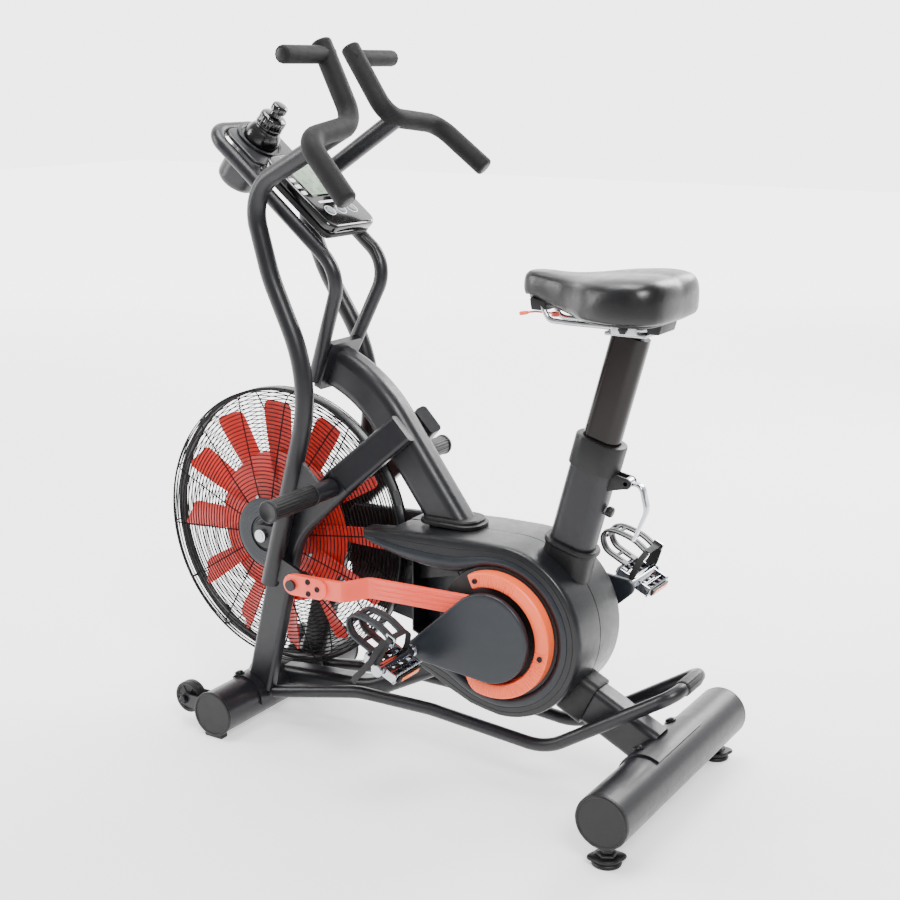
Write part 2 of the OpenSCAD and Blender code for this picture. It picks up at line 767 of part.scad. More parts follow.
// Moulded shell with the two steel rails under it
module saddle_shell() color(trim_black) at_row() {
    translate([0, 0, rail_z + 14]) linear_extrude(12) saddle_plan(9);
    for (s = [-1, 1]) {
        translate([-235, s * rail_y, rail_z]) rotate([0, 90, 0]) cylinder(h = 195, r = rail_r);
        for (x = [-230, -44]) translate([x, s * rail_y, rail_z]) cylinder(h = 15, r = rail_r - 0.5);
    }
}

module saddle_pad() color(trim_black) at_row()
    translate([0, 0, rail_z + 26.3]) linear_extrude(58) saddle_plan(0);

module saddle_lever() color(coral) at_row() {
    translate([lever_pin.x, 0, lever_pin.z]) cylinder(h = 8.7, r = 6);
    z = lever_pin.z + 4;
    bent([[lever_pin.x, 0, z], [-285, -12, z], [-312, -18, z - 6]], [30]) round_bar(3);
}

module lever_bar() rounded(7 + 2 * $lip, 14 + 2 * $lip, 3);

// Quick lever on the collar: boss and curved lever
module quick_lever() color(steel) at_row() {
    difference() {
        union() {
            cross_rod([lever_at.x, lever_at.z], 9, -8.5, 8.5);
            bent([lever_at, [-56, 0, 600], [-50, 0, 556], [-74, 0, 502]], [16, 30]) lever_bar();
        }
        cross_rod([lever_at.x, lever_at.z], 4 + running_gap, -9, 9);
    }
}

// Spring-loaded knob on the back of the seat tube
module pull_knob() color(trim_black) at_row() on_seat() translate([0, 0, knob_z]) rotate([0, 90, 0]) {
    translate([0, 0, 31.5]) cylinder(h = 12, r = 6);
    translate([0, 0, 39]) cylinder(h = 7, r = 9);
    translate([0, 0, 45]) cylinder(h = 14, r = 13);
}

// Console

module console_hoop() color(frame_black) at_row() bent(hoop_path, [70, 45, 45, 70]) round_bar(13.5);

// Tray on the hoop, with the bottle cup
module console_tray() color(slate) at_row() on_console() difference() {
    union() {
        translate([5, -74, -16]) cube([312, 148, 4]);
        translate([cup_x, 0, -112]) cylinder(h = 106, r = 43);
        translate([cup_x, 0, -12.5]) cylinder(h = 6.5, r = 48);
    }
    translate([cup_x, 0, -108]) cylinder(h = 120, r = 38.5);
}

module console_body() color(trim_black) at_row() on_console() difference() {
    translate([0, 0, -11.9]) linear_extrude(30) translate([102, 0]) rounded(204, 150, 22);
    translate([0, 0, -9]) linear_extrude(24) translate([102, 0]) rounded(199, 145, 20);
    for (i = [-1:1]) translate([button_x, i * button_gap, 10]) cylinder(h = 20, r = 9.5);
    translate([88, -48, 16]) cube([92, 96, 5]);
}

module console_lens() color(slate) at_row() on_console()
    translate([88.2, -47.8, 16.2]) cube([91.6, 95.6, 2.2]);

module button(i) color(slate) at_row() on_console() translate([button_x, i * button_gap, 12]) {
    cylinder(h = 8.5, r = 9);
    cylinder(h = 2.5, r = 9);
}

module button_left() button(1);
module button_middle() button(0);
module button_right() button(-1);

// Sensor lead from the console into the right side of the hoop
module console_cable() color(trim_black) at_row()
    bent([[-688, 30, 1006], [-668, 42, 984], [-664, 52, 960], [-668, 62, 949]], [14, 14]) round_bar(2.5);

module bottle() color(trim_black) at_row() on_console() translate([cup_x, 0, -107.5]) {
    cylinder(h = 130, r = 35);
    translate([0, 0, 129]) cylinder(h = 12, r1 = 35, r2 = 22);
    translate([0, 0, 140]) cylinder(h = 22, r = 24);
    translate([0, 0, 161]) cylinder(h = 12, r = 11);
    translate([0, 0, 172]) cylinder(h = 16, r = 16);
}

rear_foot_tube();
front_foot_tube();
foot_end_caps();
foot_brackets();
foot_bolts();
fork_legs();
frame_plates();
spine();
bottom_beam();
rear_beam();
seat_tube();
frame_collars();
lift_rail();
frame_grips();
pivot_axle();
crank_housing();
crank_bearings();
case_left();
case_right();
case_screws();
crescent_guards();
fan_axle();
fan_guards();
hub_covers();
drive_belt();
console_hoop();
console_tray();
console_body();
console_lens();
console_cable();
foot_left();
foot_right();
wheel_left();
wheel_right();
seat_post();
post_head();
saddle_shell();
saddle_pad();
saddle_lever();
quick_lever();
pull_knob();
crank_axle();
crank_left();
crank_right();
drive_pulley();
pedal_left();
pedal_right();
fan_wheel();
fan_pulley();
idler();
arm_left();
arm_right();
handle_left();
handle_right();
link_left();
link_right();
button_left();
button_middle();
button_right();
bottle();
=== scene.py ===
import json
import math

import bmesh
import bpy
from mathutils import Matrix, Vector


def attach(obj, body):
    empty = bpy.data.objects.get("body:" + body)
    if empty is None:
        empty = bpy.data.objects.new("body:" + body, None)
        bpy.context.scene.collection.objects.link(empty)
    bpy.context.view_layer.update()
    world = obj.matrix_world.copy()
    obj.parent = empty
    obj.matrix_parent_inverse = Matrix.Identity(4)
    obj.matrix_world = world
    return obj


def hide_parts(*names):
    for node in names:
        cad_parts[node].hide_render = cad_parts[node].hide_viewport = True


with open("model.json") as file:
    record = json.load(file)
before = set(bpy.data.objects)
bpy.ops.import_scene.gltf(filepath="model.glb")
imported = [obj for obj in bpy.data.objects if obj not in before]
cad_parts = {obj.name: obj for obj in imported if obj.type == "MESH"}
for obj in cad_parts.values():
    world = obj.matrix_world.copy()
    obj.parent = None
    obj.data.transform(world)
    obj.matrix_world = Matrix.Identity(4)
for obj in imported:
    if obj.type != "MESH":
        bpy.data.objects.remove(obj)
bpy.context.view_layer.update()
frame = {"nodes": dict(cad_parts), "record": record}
scene = bpy.context.scene
NODES = frame["nodes"]

# Places are written as the CAD has them: millimetres, x measured back from the rear foot tube.
MM = 0.001
SHIFT = 0.551


def B(x, y, z):
    """A place given in the bike's own millimetres."""
    return Vector((x * MM + SHIFT, y * MM, z * MM))


def srgb(r, g, b):
    """A colour given in 0 to 255, as linear values."""
    out = []
    for c in (r, g, b):
        c /= 255
        out.append(c / 12.92 if c <= 0.04045 else ((c + 0.055) / 1.055) ** 2.4)
    return (*out, 1.0)


# Materials


class Nodes:
    """A material's node tree, with short calls for the nodes that repeat."""

    def __init__(self, name):
        self.mat = bpy.data.materials.new(name)
        self.mat.use_nodes = True
        self.tree = self.mat.node_tree
        self.bsdf = self.tree.nodes["Principled BSDF"]
        self.coord = self.add("ShaderNodeTexCoord").outputs["Object"]

    def add(self, kind, **inputs):
        n = self.tree.nodes.new(kind)
        for k, v in inputs.items():
            self.put(n.inputs[k.replace("_", " ")], v)
        return n

    def put(self, socket, v):
        if isinstance(v, bpy.types.NodeSocket):
            self.tree.links.new(v, socket)
        else:
            socket.default_value = v

    def noise(self, scale, detail=3, rough=0.5, stretch=None):
        n = self.add("ShaderNodeTexNoise", Scale=scale, Detail=detail, Roughness=rough)
        if stretch:
            m = self.add("ShaderNodeMapping", Vector=self.coord, Scale=stretch)
            self.put(n.inputs["Vector"], m.outputs[0])
        else:
            self.put(n.inputs["Vector"], self.coord)
        return n.outputs["Fac"]

    def map(self, fac, lo, hi, a=0.0, b=1.0):
        n = self.add("ShaderNodeMapRange")
        for k, v in zip(("Value", "From Min", "From Max", "To Min", "To Max"), (fac, lo, hi, a, b)):
            self.put(n.inputs[k], v)
        return n.outputs[0]

    def mix(self, fac, a, b):
        n = self.tree.nodes.new("ShaderNodeMix")
        n.data_type = "RGBA"
        self.put(n.inputs[0], fac)
        self.put(n.inputs[6], a)
        self.put(n.inputs[7], b)
        return n.outputs[2]

    def bump(self, height, depth, after=None):
        n = self.add("ShaderNodeBump", Height=height, Distance=depth, Strength=1.0)
        if after:
            self.put(n.inputs["Normal"], after)
        return n.outputs[0]

    def set(self, **inputs):
        for k, v in inputs.items():
            self.put(self.bsdf.inputs[k.replace("_", " ")], v)


def scaled(c, f):
    return (*(min(1.0, v * f) for v in c[:3]), 1.0)


def finish(name, color, rough, metal=0.0, vary=0.2, grain=1200, depth=0.00006, spread=0.06, **more):
    """A coated, moulded or metal surface: faint colour and gloss changes, and a fine grain."""
    n = Nodes(name)
    blotch = n.noise(9, 4, 0.6)
    fine = n.noise(grain, 2)
    base = n.mix(n.map(blotch, 0.35, 0.65), scaled(color, 1 - vary), scaled(color, 1 + vary))
    base = n.mix(n.map(fine, 0.3, 0.7), base, n.mix(0.12, base, scaled(color, 1.8)))
    dust = n.noise(60, 6, 0.7)
    n.set(Base_Color=base, Metallic=metal)
    n.set(Roughness=n.map(dust, 0.3, 0.7, rough - spread, rough + spread))
    n.set(Normal=n.bump(fine, depth))
    for k, v in more.items():
        n.put(n.bsdf.inputs[k.replace("_", " ")], v)
    return n.mat


# Every material by its short name
M = {}
M["frame"] = finish("frame_coat", srgb(20, 20, 24), 0.36, vary=0.1, grain=1500, depth=0.00008,
                    Specular_IOR_Level=0.4)
M["trim"] = finish("trim_plastic", srgb(13, 13, 15), 0.46, vary=0.12, grain=900, depth=0.0001,
                   Specular_IOR_Level=0.35)
M["slate"] = finish("case_plastic", srgb(22, 27, 33), 0.38, vary=0.1, grain=1000, depth=0.00008,
                    Specular_IOR_Level=0.4)
# A darker copy of the slate case plastic: the two tones are painted light and shade on one moulding.
M["charcoal"] = finish("case_band_shaded", srgb(16, 17, 20), 0.34, vary=0.1, grain=1000, depth=0.00008,
                       Specular_IOR_Level=0.4)
M["wire"] = finish("guard_wire", srgb(5, 5, 6), 0.6, vary=0.1, Specular_IOR_Level=0.15)
M["black_bolt"] = finish("black_bolt", srgb(24, 24, 26), 0.35, metal=0.6, vary=0.15)
M["steel"] = finish("turned_steel", srgb(185, 187, 190), 0.28, metal=1.0, vary=0.06)
# The chrome post as dark brown gloss: its dark colour is a painted reflection of dark surroundings.
M["post"] = finish("chrome_painted_reflection", srgb(20, 13, 11), 0.05, vary=0.25, depth=0.00001, spread=0.02,
                   Specular_IOR_Level=0.3)
M["chrome"] = finish("chrome", srgb(176, 178, 184), 0.07, metal=1.0, vary=0.03, depth=0.00001, spread=0.03)
M["rubber"] = finish("grip_rubber", srgb(8, 8, 9), 0.5, vary=0.15, grain=700, depth=0.00015,
                     Specular_IOR_Level=0.4)
M["fan_red"] = finish("fan_plastic", srgb(208, 38, 26), 0.4, vary=0.07)
M["coral"] = finish("link_coat", srgb(245, 84, 62), 0.36, vary=0.05, grain=1400)
M["orange"] = finish("crescent_plastic", srgb(245, 96, 50), 0.42, vary=0.05)
M["gloss"] = finish("console_gloss", srgb(7, 7, 8), 0.1, vary=0.1, depth=0.00001, spread=0.03,
                    Coat_Weight=0.6, Coat_Roughness=0.04)
M["rim"] = finish("rim_band", srgb(24, 25, 27), 0.4, vary=0.1, Specular_IOR_Level=0.3)
# Near-black for gaps and hollows: painted shade in the gaps round the crescents, inside the case and in bolt
# sockets.
M["recess_shade"] = finish("recess_painted_shade", srgb(12, 12, 13), 0.6, vary=0.1)
# A darker red copy of the orange crescent plastic: painted shade on the crescents' inner wall.
M["crescent_wall_shade"] = finish("crescent_wall_shade", srgb(200, 44, 24), 0.45, vary=0.05)
M["foam"] = finish("grip_foam", srgb(16, 15, 17), 0.7, vary=0.12, grain=520, depth=0.00022,
                   Specular_IOR_Level=0.25)
M["cage"] = finish("toe_cage", srgb(36, 39, 43), 0.42, vary=0.08)
M["reflector"] = finish("reflector", srgb(255, 120, 40), 0.15, vary=0.05, grain=400, depth=0.0004)
M["strap"] = finish("strap", srgb(12, 12, 13), 0.7, vary=0.1, grain=2500, depth=0.0001)
M["vinyl"] = finish("saddle_vinyl", srgb(11, 11, 13), 0.33, vary=0.06, grain=700, depth=0.00016,
                    Specular_IOR_Level=0.45)
M["lcd"] = finish("display", srgb(140, 160, 138), 0.25, vary=0.03, depth=0.000005, spread=0.03)
M["segment"] = finish("display_segments", srgb(60, 70, 62), 0.4, vary=0.05)
M["white_print"] = finish("white_print", srgb(226, 228, 230), 0.3, vary=0.03)
M["cup"] = finish("cup_plastic", srgb(24, 25, 28), 0.32, vary=0.06)
M["bottle"] = finish("bottle_black", srgb(8, 8, 9), 0.25, vary=0.08, Coat_Weight=0.3, Coat_Roughness=0.1)
M["grey"] = finish("button_grey", srgb(120, 124, 130), 0.45, vary=0.06)

SLOT_MATERIAL = {
    "frame_paint": "frame", "trim_plastic": "trim", "case_plastic": "slate", "fan_wire": "wire",
    "dark_bolts": "black_bolt", "bright_steel": "steel", "chrome": "chrome", "grip_rubber": "rubber",
    "wheel_plastic": "rubber", "fan_red": "fan_red", "link_coral": "coral", "crescent_orange": "orange",
    "saddle_vinyl": "trim", "console_gloss": "gloss", "console_window": "grey", "button_grey": "grey",
    "bottle_plastic": "gloss",
}
for sub in frame["record"]["subparts"]:
    o = NODES[sub["node"]]
    o.data.materials.clear()
    o.data.materials.append(M[SLOT_MATERIAL[sub["material_slot"]]])
    o.data.polygons.foreach_set("use_smooth", [True] * len(o.data.polygons))
    o.data.set_sharp_from_angle(angle=math.radians(32))

# Building meshes


def frame_of(axis):
    """Unit vectors (u, v, w) with w along axis."""
    w = Vector(axis).normalized()
    h = Vector((0, 0, 1))
    if abs(w.dot(h)) > 0.95:
        h = Vector((1, 0, 0))
    u = h.cross(w).normalized()
    return u, w.cross(u), w


def arc(centre, r, a0, a1, n):
    """Points of an arc in a side view, angles in degrees."""
    out = []
    for i in range(n + 1):
        a = math.radians(a0 + (a1 - a0) * i / n)
        out.append((centre[0] + r * math.cos(a), centre[1] + r * math.sin(a)))
    return out


def rounded_outline(points, radii, n=6):
    """A closed outline of corner points, each rounded by its radius."""
    out = []
    count = len(points)
    for i, p in enumerate(points):
        p = Vector(p)
        a = (Vector(points[i - 1]) - p)
        b = (Vector(points[(i + 1) % count]) - p)
        r = radii[i] if isinstance(radii, (list, tuple)) else radii
        half = a.angle(b) / 2
        if r <= 0 or half > math.radians(89):
            out.append(tuple(p))
            continue
        cut = min(r / math.tan(half), a.length * 0.49, b.length * 0.49)
        r = cut * math.tan(half)
        centre = p + (a.normalized() + b.normalized()).normalized() * (r / math.sin(half))
        s = p + a.normalized() * cut - centre
        e = p + b.normalized() * cut - centre
        sweep_angle = s.angle_signed(e)
        for k in range(n + 1):
            t = -sweep_angle * k / n
            out.append((centre.x + s.x * math.cos(t) - s.y * math.sin(t),
                        centre.y + s.x * math.sin(t) + s.y * math.cos(t)))
    return out


def inset(outline, d):
    """The outline drawn in by d. It runs anticlockwise."""
    out = []
    count = len(outline)
    for i in range(count):
        a, p, b = (Vector(outline[j % count]) for j in (i - 1, i, i + 1))
        e1 = (p - a).normalized()
        e2 = (b - p).normalized()
        n1 = Vector((-e1.y, e1.x))
        n2 = Vector((-e2.y, e2.x))
        m = n1 + n2
        m = m.normalized() / max(0.5, m.normalized().dot(n1)) if m.length > 1e-6 else n1
        out.append((p.x + m.x * d, p.y + m.y * d))
    return out


def anticlockwise(outline):
    area = sum(a[0] * b[1] - b[0] * a[1] for a, b in zip(outline, outline[1:] + outline[:1]))
    return outline if area > 0 else outline[::-1]


def smooth_path(points, radii, step=0.008):
    """Points along straights joined by arcs: radii gives each inner corner's radius."""
    pts = [Vector(p) for p in points]
    out = [pts[0]]
    for i in range(1, len(pts) - 1):
        p = pts[i]
        a = (pts[i - 1] - p).normalized()
        b = (pts[i + 1] - p).normalized()
        half = a.angle(b) / 2
        r = radii[i - 1]
        cut = r / math.tan(half)
        centre = p + (a + b).normalized() * (r / math.sin(half))
        s = p + a * cut - centre
        axis = (-a).cross(b).normalized()
        turn = math.pi - 2 * half
        n = max(3, int(r * turn / step), int(turn / 0.12))
        for k in range(n + 1):
            out.append(centre + Matrix.Rotation(turn * k / n, 3, axis) @ s)
    out.append(pts[-1])
    return out


class Shape:
    """Vertices and faces of one piece, gathered from several forms."""

    def __init__(self):
        self.verts = []
        self.faces = []
        self.mats = []

    def face(self, ids, mat):
        self.faces.append(ids)
        self.mats.append(mat)

    def rings(self, rings, mat=0, closed=False):
        """Joins rings of points, each the same length, into a skin."""
        base = len(self.verts)
        n = len(rings[0])
        for r in rings:
            self.verts.extend(r)
        count = len(rings)
        for i in range(count if closed else count - 1):
            p, q = base + i * n, base + ((i + 1) % count) * n
            for j in range(n):
                k = (j + 1) % n
                self.face((p + j, p + k, q + k, q + j), mat)
        if not closed:
            self.face(tuple(range(base + n - 1, base - 1, -1)), mat)
            last = base + (count - 1) * n
            self.face(tuple(range(last, last + n)), mat)

    def lathe(self, profile, at, axis, mat=0, seg=64):
        """Turns a closed profile of (radius, height) points about an axis."""
        u, v, w = frame_of(axis)
        at = Vector(at)
        rings = []
        for i in range(seg):
            a = 2 * math.pi * i / seg
            d = u * math.cos(a) + v * math.sin(a)
            rings.append([at + d * r + w * h for r, h in profile])
        self.rings(rings, mat, closed=True)

    def turned(self, profile, at, axis, mat=0, seg=48):
        """Turns an open profile of (radius, height) points, and closes its ends flat."""
        u, v, w = frame_of(axis)
        at = Vector(at)
        rings = []
        for r, h in profile:
            rings.append([at + (u * math.cos(t) + v * math.sin(t)) * max(r, 1e-5) + w * h
                          for t in (2 * math.pi * i / seg for i in range(seg))])
        self.rings(rings, mat)

    def sweep(self, path, section, mat=0, closed=False, normal=(0, 1, 0), scale=None):
        """Carries a section of (u, v) points along a path."""
        path = [Vector(p) for p in path]
        n = len(path)
        rings = []
        u = Vector(normal)
        if abs(u.normalized().dot((path[1] - path[0]).normalized())) > 0.95:
            u = Vector((1, 0, 0)) if abs(u.x) < 0.9 else Vector((0, 0, 1))
        for i, p in enumerate(path):
            if closed:
                t = (path[(i + 1) % n] - path[i - 1]).normalized()
            else:
                t = (path[min(i + 1, n - 1)] - path[max(i - 1, 0)]).normalized()
            u = (u - t * u.dot(t)).normalized()
            v = t.cross(u)
            f = scale[i] if scale else 1.0
            rings.append([p + (u * a + v * b) * f for a, b in section])
        self.rings(rings, mat, closed=closed)

    def tube(self, path, r, mat=0, seg=12, closed=False, scale=None):
        self.sweep(path, circle(r, seg), mat, closed, scale=scale)

    def prism(self, outline, y0, y1, mat=0, edge=0.0015, place=None, steps=3):
        """A side-view outline between y0 and y1 in millimetres, with rounded edges.

        place puts (x, z, y) somewhere else.
        """
        outline = anticlockwise(list(outline))
        put = place or (lambda x, z, y: B(x, y, z))
        e = edge / MM
        rings = []
        for k in range(steps + 1):
            a = math.pi / 2 * k / steps
            rings.append(([(x, z) for x, z in inset(outline, e * (1 - math.sin(a)))],
                          y0 + e * (1 - math.cos(a))))
        for k in range(steps + 1):
            a = math.pi / 2 * (1 - k / steps)
            rings.append(([(x, z) for x, z in inset(outline, e * (1 - math.sin(a)))],
                          y1 - e * (1 - math.cos(a))))
        self.rings([[put(x, z, y) for x, z in ring] for ring, y in rings], mat)

    def obj(self, name, mats, body, slot, replaces=(), sharp=35):
        mesh = bpy.data.meshes.new(name)
        mesh.from_pydata([tuple(v) for v in self.verts], [], self.faces)
        for m in mats if isinstance(mats, (list, tuple)) else [mats]:
            mesh.materials.append(M[m])
        mesh.polygons.foreach_set("material_index", self.mats)
        b = bmesh.new()
        b.from_mesh(mesh)
        bmesh.ops.remove_doubles(b, verts=b.verts, dist=2e-6)
        bmesh.ops.recalc_face_normals(b, faces=b.faces)
        b.to_mesh(mesh)
        b.free()
        mesh.polygons.foreach_set("use_smooth", [True] * len(mesh.polygons))
        mesh.set_sharp_from_angle(angle=math.radians(sharp))
        o = bpy.data.objects.new(name, mesh)
        scene.collection.objects.link(o)
        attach(o, body)
        if replaces:
            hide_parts(*replaces)
        return o


def spline(pts, n, closed=True):
    """A smooth curve through points, with n steps from each to the next."""
    out = []
    count = len(pts)
    for i in range(count if closed else count - 1):
        near = [(i + k) % count if closed else max(0, min(count - 1, i + k)) for k in (-1, 0, 1, 2)]
        p0, p1, p2, p3 = (Vector(pts[j]) for j in near)
        for k in range(n):
            t = k / n
            out.append(0.5 * ((2 * p1) + (p2 - p0) * t + (2 * p0 - 5 * p1 + 4 * p2 - p3) * t * t
                              + (3 * p1 - p0 - 3 * p2 + p3) * t ** 3))
    if not closed:
        out.append(Vector(pts[-1]))
    return out


def circle(r, n=16):
    return [(r * math.cos(2 * math.pi * i / n), r * math.sin(2 * math.pi * i / n)) for i in range(n)]


def box_section(w, h, r, n=4):
    return rounded_outline([(-w / 2, -h / 2), (w / 2, -h / 2), (w / 2, h / 2), (-w / 2, h / 2)], r, n)


# Fan

FAN = B(-864.5, 0, 400)
LEFT = Vector((0, -1, 0))


GUARD = {
    "left": [(290, 10), (289.5, 26), (286, 34), (277, 40), (262, 43.5), (240, 46), (190, 52), (120, 60),
             (44, 66)],
    "right": [(290, 10), (289, 18), (282, 23.5), (268, 27), (245, 33), (200, 40), (120, 47.5), (44, 52)],
}
WIRE_PITCH = 7.6


def guard_wires(side, s):
    g = Shape()
    out = Vector((0, s, 0))
    table = GUARD[side]
    walk = []
    for (r0, h0), (r1, h1) in zip(table, table[1:]):
        n = max(1, int(math.hypot(r1 - r0, h1 - h0) / 1.0))
        walk += [(r0 + (r1 - r0) * k / n, h0 + (h1 - h0) * k / n) for k in range(n)]
    walk.append(table[-1])
    travelled = 0
    last = walk[0]
    stops = [walk[0]]
    for p in walk[1:]:
        travelled += math.hypot(p[0] - last[0], p[1] - last[1])
        last = p
        if travelled >= WIRE_PITCH:
            stops.append(p)
            travelled = 0
    for r, h in stops:
        ring = [FAN + Vector((math.cos(a) * r * MM, s * h * MM, math.sin(a) * r * MM))
                for a in (2 * math.pi * i / 120 for i in range(120))]
        g.tube(ring, 0.00115, seg=6, closed=True)
    for i in range(14):
        a = math.radians(360 / 14 * i + 6)
        d = Vector((math.cos(a), 0, math.sin(a)))
        g.tube([FAN + d * (r - 1.4) * MM + out * (h - 2.0) * MM for r, h in walk[::12] + [walk[-1]]],
               0.0014, seg=6)
    inner = table[-1]
    g.lathe([(0.040, (inner[1] - 4) * MM), (0.047, (inner[1] - 4) * MM), (0.0475, inner[1] * MM),
             (0.040, inner[1] * MM)],
            FAN, out, seg=64)
    return g


for side, s in (("left", -1), ("right", 1)):
    guard_wires(side, s).obj(f"guard_wires_{side}", "wire", "frame", "fan_wire", ["fan_guards"])

rim = Shape()
rim.lathe([(0.291, -0.0085), (0.291, 0.0085), (0.2895, 0.011), (0.286, 0.011), (0.2845, 0.009),
           (0.2865, 0.007),
           (0.2865, -0.007), (0.2845, -0.009), (0.286, -0.011), (0.2895, -0.011)], FAN, LEFT, seg=128)
for a in (20, 200):
    d = Vector((math.cos(math.radians(a)), 0, math.sin(math.radians(a))))
    rim.sweep([FAN + d * 0.2865, FAN + d * 0.2925], box_section(0.02, 0.03, 0.002), normal=(0, 1, 0))
rim.obj("guard_rim", "rim", "frame", "fan_wire", ["fan_guards"])

BLADES = 12
PITCH = math.radians(30)
FAN_MID = FAN + LEFT * 0.008


def blade(g, turn):
    d = Vector((math.cos(turn), 0, math.sin(turn)))
    t = Vector((-math.sin(turn), 0, math.cos(turn)))
    rings = []
    stations = [(92, 12), (110, 17), (140, 20.5), (180, 24), (220, 26.5), (240, 27.5), (252, 27), (259, 24),
                (262, 17)]
    for r, half in stations:
        p = PITCH * (1.15 - 0.3 * (r - 92) / 170)
        c = t * math.cos(p) + LEFT * math.sin(p)
        nrm = c.cross(d).normalized()
        lean = 4 if r > 240 else 0
        ring = []
        for k in range(9):
            f = k / 8 * 2 - 1
            ring.append(FAN_MID + d * (r + lean * f) * MM + c * half * f * MM + nrm
                        * (0.0014 + 0.003 * (1 - f * f)))
        for k in range(9):
            f = 1 - k / 8 * 2
            ring.append(FAN_MID + d * (r + lean * f) * MM + c * half * f * MM + nrm
                        * (-0.0014 + 0.003 * (1 - f * f)))
        rings.append(ring)
    g.rings(rings)


rotor = Shape()
rotor.lathe([(0.0085, -0.030), (0.022, -0.030), (0.023, -0.012), (0.040, -0.006), (0.060, -0.003),
             (0.150, -0.003),
             (0.157, -0.001), (0.160, 0.003), (0.158, 0.006), (0.150, 0.0035), (0.118, 0.002), (0.112, 0.005),
             (0.100, 0.0055), (0.066, 0.0055), (0.060, 0.011), (0.046, 0.013), (0.030, 0.014), (0.022, 0.030),
             (0.0085, 0.030)], FAN_MID, LEFT, seg=96)
for i in range(BLADES):
    blade(rotor, 2 * math.pi * i / BLADES + 0.05)
for i in range(6):
    a = math.radians(60 * i + 22)
    at = FAN_MID + Vector((math.cos(a), 0, math.sin(a))) * 0.084 + LEFT * 0.005
    rotor.turned([(0.006, 0), (0.006, 0.002), (0.0045, 0.0035), (0.0, 0.0036)], at, LEFT, mat=1, seg=16)
rotor.obj("fan_rotor", ["fan_red", "steel"], "fan", "fan_red", ["fan_wheel"])

hub = Shape()
hub.lathe([(0.070, 0.0655), (0.0735, 0.066), (0.0735, 0.0690), (0.069, 0.0698), (0.0635, 0.0698),
           (0.0625, 0.0710),
           (0.0555, 0.0710), (0.0545, 0.0722), (0.0475, 0.0722), (0.0465, 0.0732), (0.0385, 0.0732),
           (0.0375, 0.0700),
           (0.034, 0.0690), (0.034, 0.0655)], FAN, LEFT, seg=96)
hub.lathe([(0.0085, 0.0660), (0.0335, 0.0660), (0.0335, 0.0705), (0.031, 0.0728), (0.026, 0.0735),
           (0.022, 0.0715),
           (0.015, 0.0705), (0.0085, 0.0705)], FAN, LEFT, mat=1, seg=64)
hub.lathe([(0.0085, 0.0530), (0.050, 0.0530), (0.052, 0.0560), (0.048, 0.0600), (0.040, 0.0600),
           (0.038, 0.0640),
           (0.030, 0.0640), (0.028, 0.0700), (0.0085, 0.0700)], FAN, -LEFT, seg=64)
hub.obj("hub_rings", ["slate", "rim"], "frame", "case_plastic", ["hub_covers"])

# Belt case

LOBE = (-308, 305)
CRANK = (-310, 306)


rear_case_outline = anticlockwise([(-308, 137)] + arc(LOBE, 168, -84, 84, 56) + [
    (-308, 473), (-390, 472), (-470, 468), (-557, 463), (-557, 230), (-503, 208), (-426, 169), (-369, 147)])
belt_guard_outline = anticlockwise([(-308, 160)] + arc(LOBE, 150, -84, 84, 24) + [
    (-470, 466), (-735, 452), (-745, 440), (-745, 262), (-735, 250), (-505, 212), (-426, 173)])


def contour(g, outline, levels, mat=0):
    """Skins an outline through (inset, y) levels in millimetres."""
    rings = [[B(x, y, z) for x, z in inset(outline, d)] for d, y in levels]
    g.rings(rings, mat)


def ruled(g, stations, section, mats):
    """A moulded band between an outer and an inner line.

    Each station is (outer point, inner point, back y), and each section point is (share across, y).
    """
    rings = []
    for p, q, back in stations:
        ring = [B(p[0], back, p[1])]
        for t, y in section:
            ring.append(B(p[0] + (q[0] - p[0]) * t, y, p[1] + (q[1] - p[1]) * t))
        ring.append(B(q[0], back, q[1]))
        rings.append(ring)
    first = len(g.faces)
    g.rings(rings)
    n = len(rings[0])
    for i in range(first, len(g.faces) - 2):
        g.mats[i] = mats[(i - first) % n]


def polar(centre, r, a):
    return centre[0] + r * math.cos(math.radians(a)), centre[1] + r * math.sin(math.radians(a))


BAND = [(0, -72), (0.012, -77), (0.035, -81), (0.07, -83.6), (0.12, -85), (0.27, -86.2), (0.276, -85.4),
        (0.288, -85.4),
        (0.294, -86.4), (0.50, -88), (0.507, -87.2), (0.519, -87.2), (0.525, -88.4), (0.60, -90.2),
        (0.68, -91.4),
        (0.76, -91.4), (0.83, -90.2), (0.89, -88), (0.94, -84.5), (0.975, -80), (1.0, -74)]
# Band faces: the outer part takes the darker copy and the ridge and slope the lighter slate, as painted shade
# and painted light on one plastic.
BAND_MATS = [0] * 13 + [1] * 10
STATIONS = [((-614, 456), (-604, 437), -50), ((-600, 458), (-592, 430), -50),
            ((-575, 460.5), (-572, 424), -50),
            ((-558, 462), (-556, 419), -50), ((-556, 462.2), (-554, 418.5), -1),
            ((-520, 465), (-520, 410), -1),
            ((-470, 468), (-472, 404), -1), ((-430, 470.5), (-434, 402), -1), ((-395, 472), (-402, 404), -1),
            ((-365, 472.6), (-372, 416), -1), ((-336, 473), (-340, 427), -1)]
STATIONS += [(polar(LOBE, 168, a), polar(CRANK, 124, a), -1) for a in range(90, -91, -4)]
STATIONS += [((-336, 141), (-334, 184), -1), ((-369, 147), (-362, 193), -1), ((-395, 157), (-384, 207), -1),
             ((-426, 169), (-412, 228), -1), ((-462, 187), (-450, 234), -1), ((-488, 200), (-478, 231), -1),
             ((-503, 209), (-494, 226), -1)]

case_l = Shape()
ruled(case_l, STATIONS, BAND, BAND_MATS)
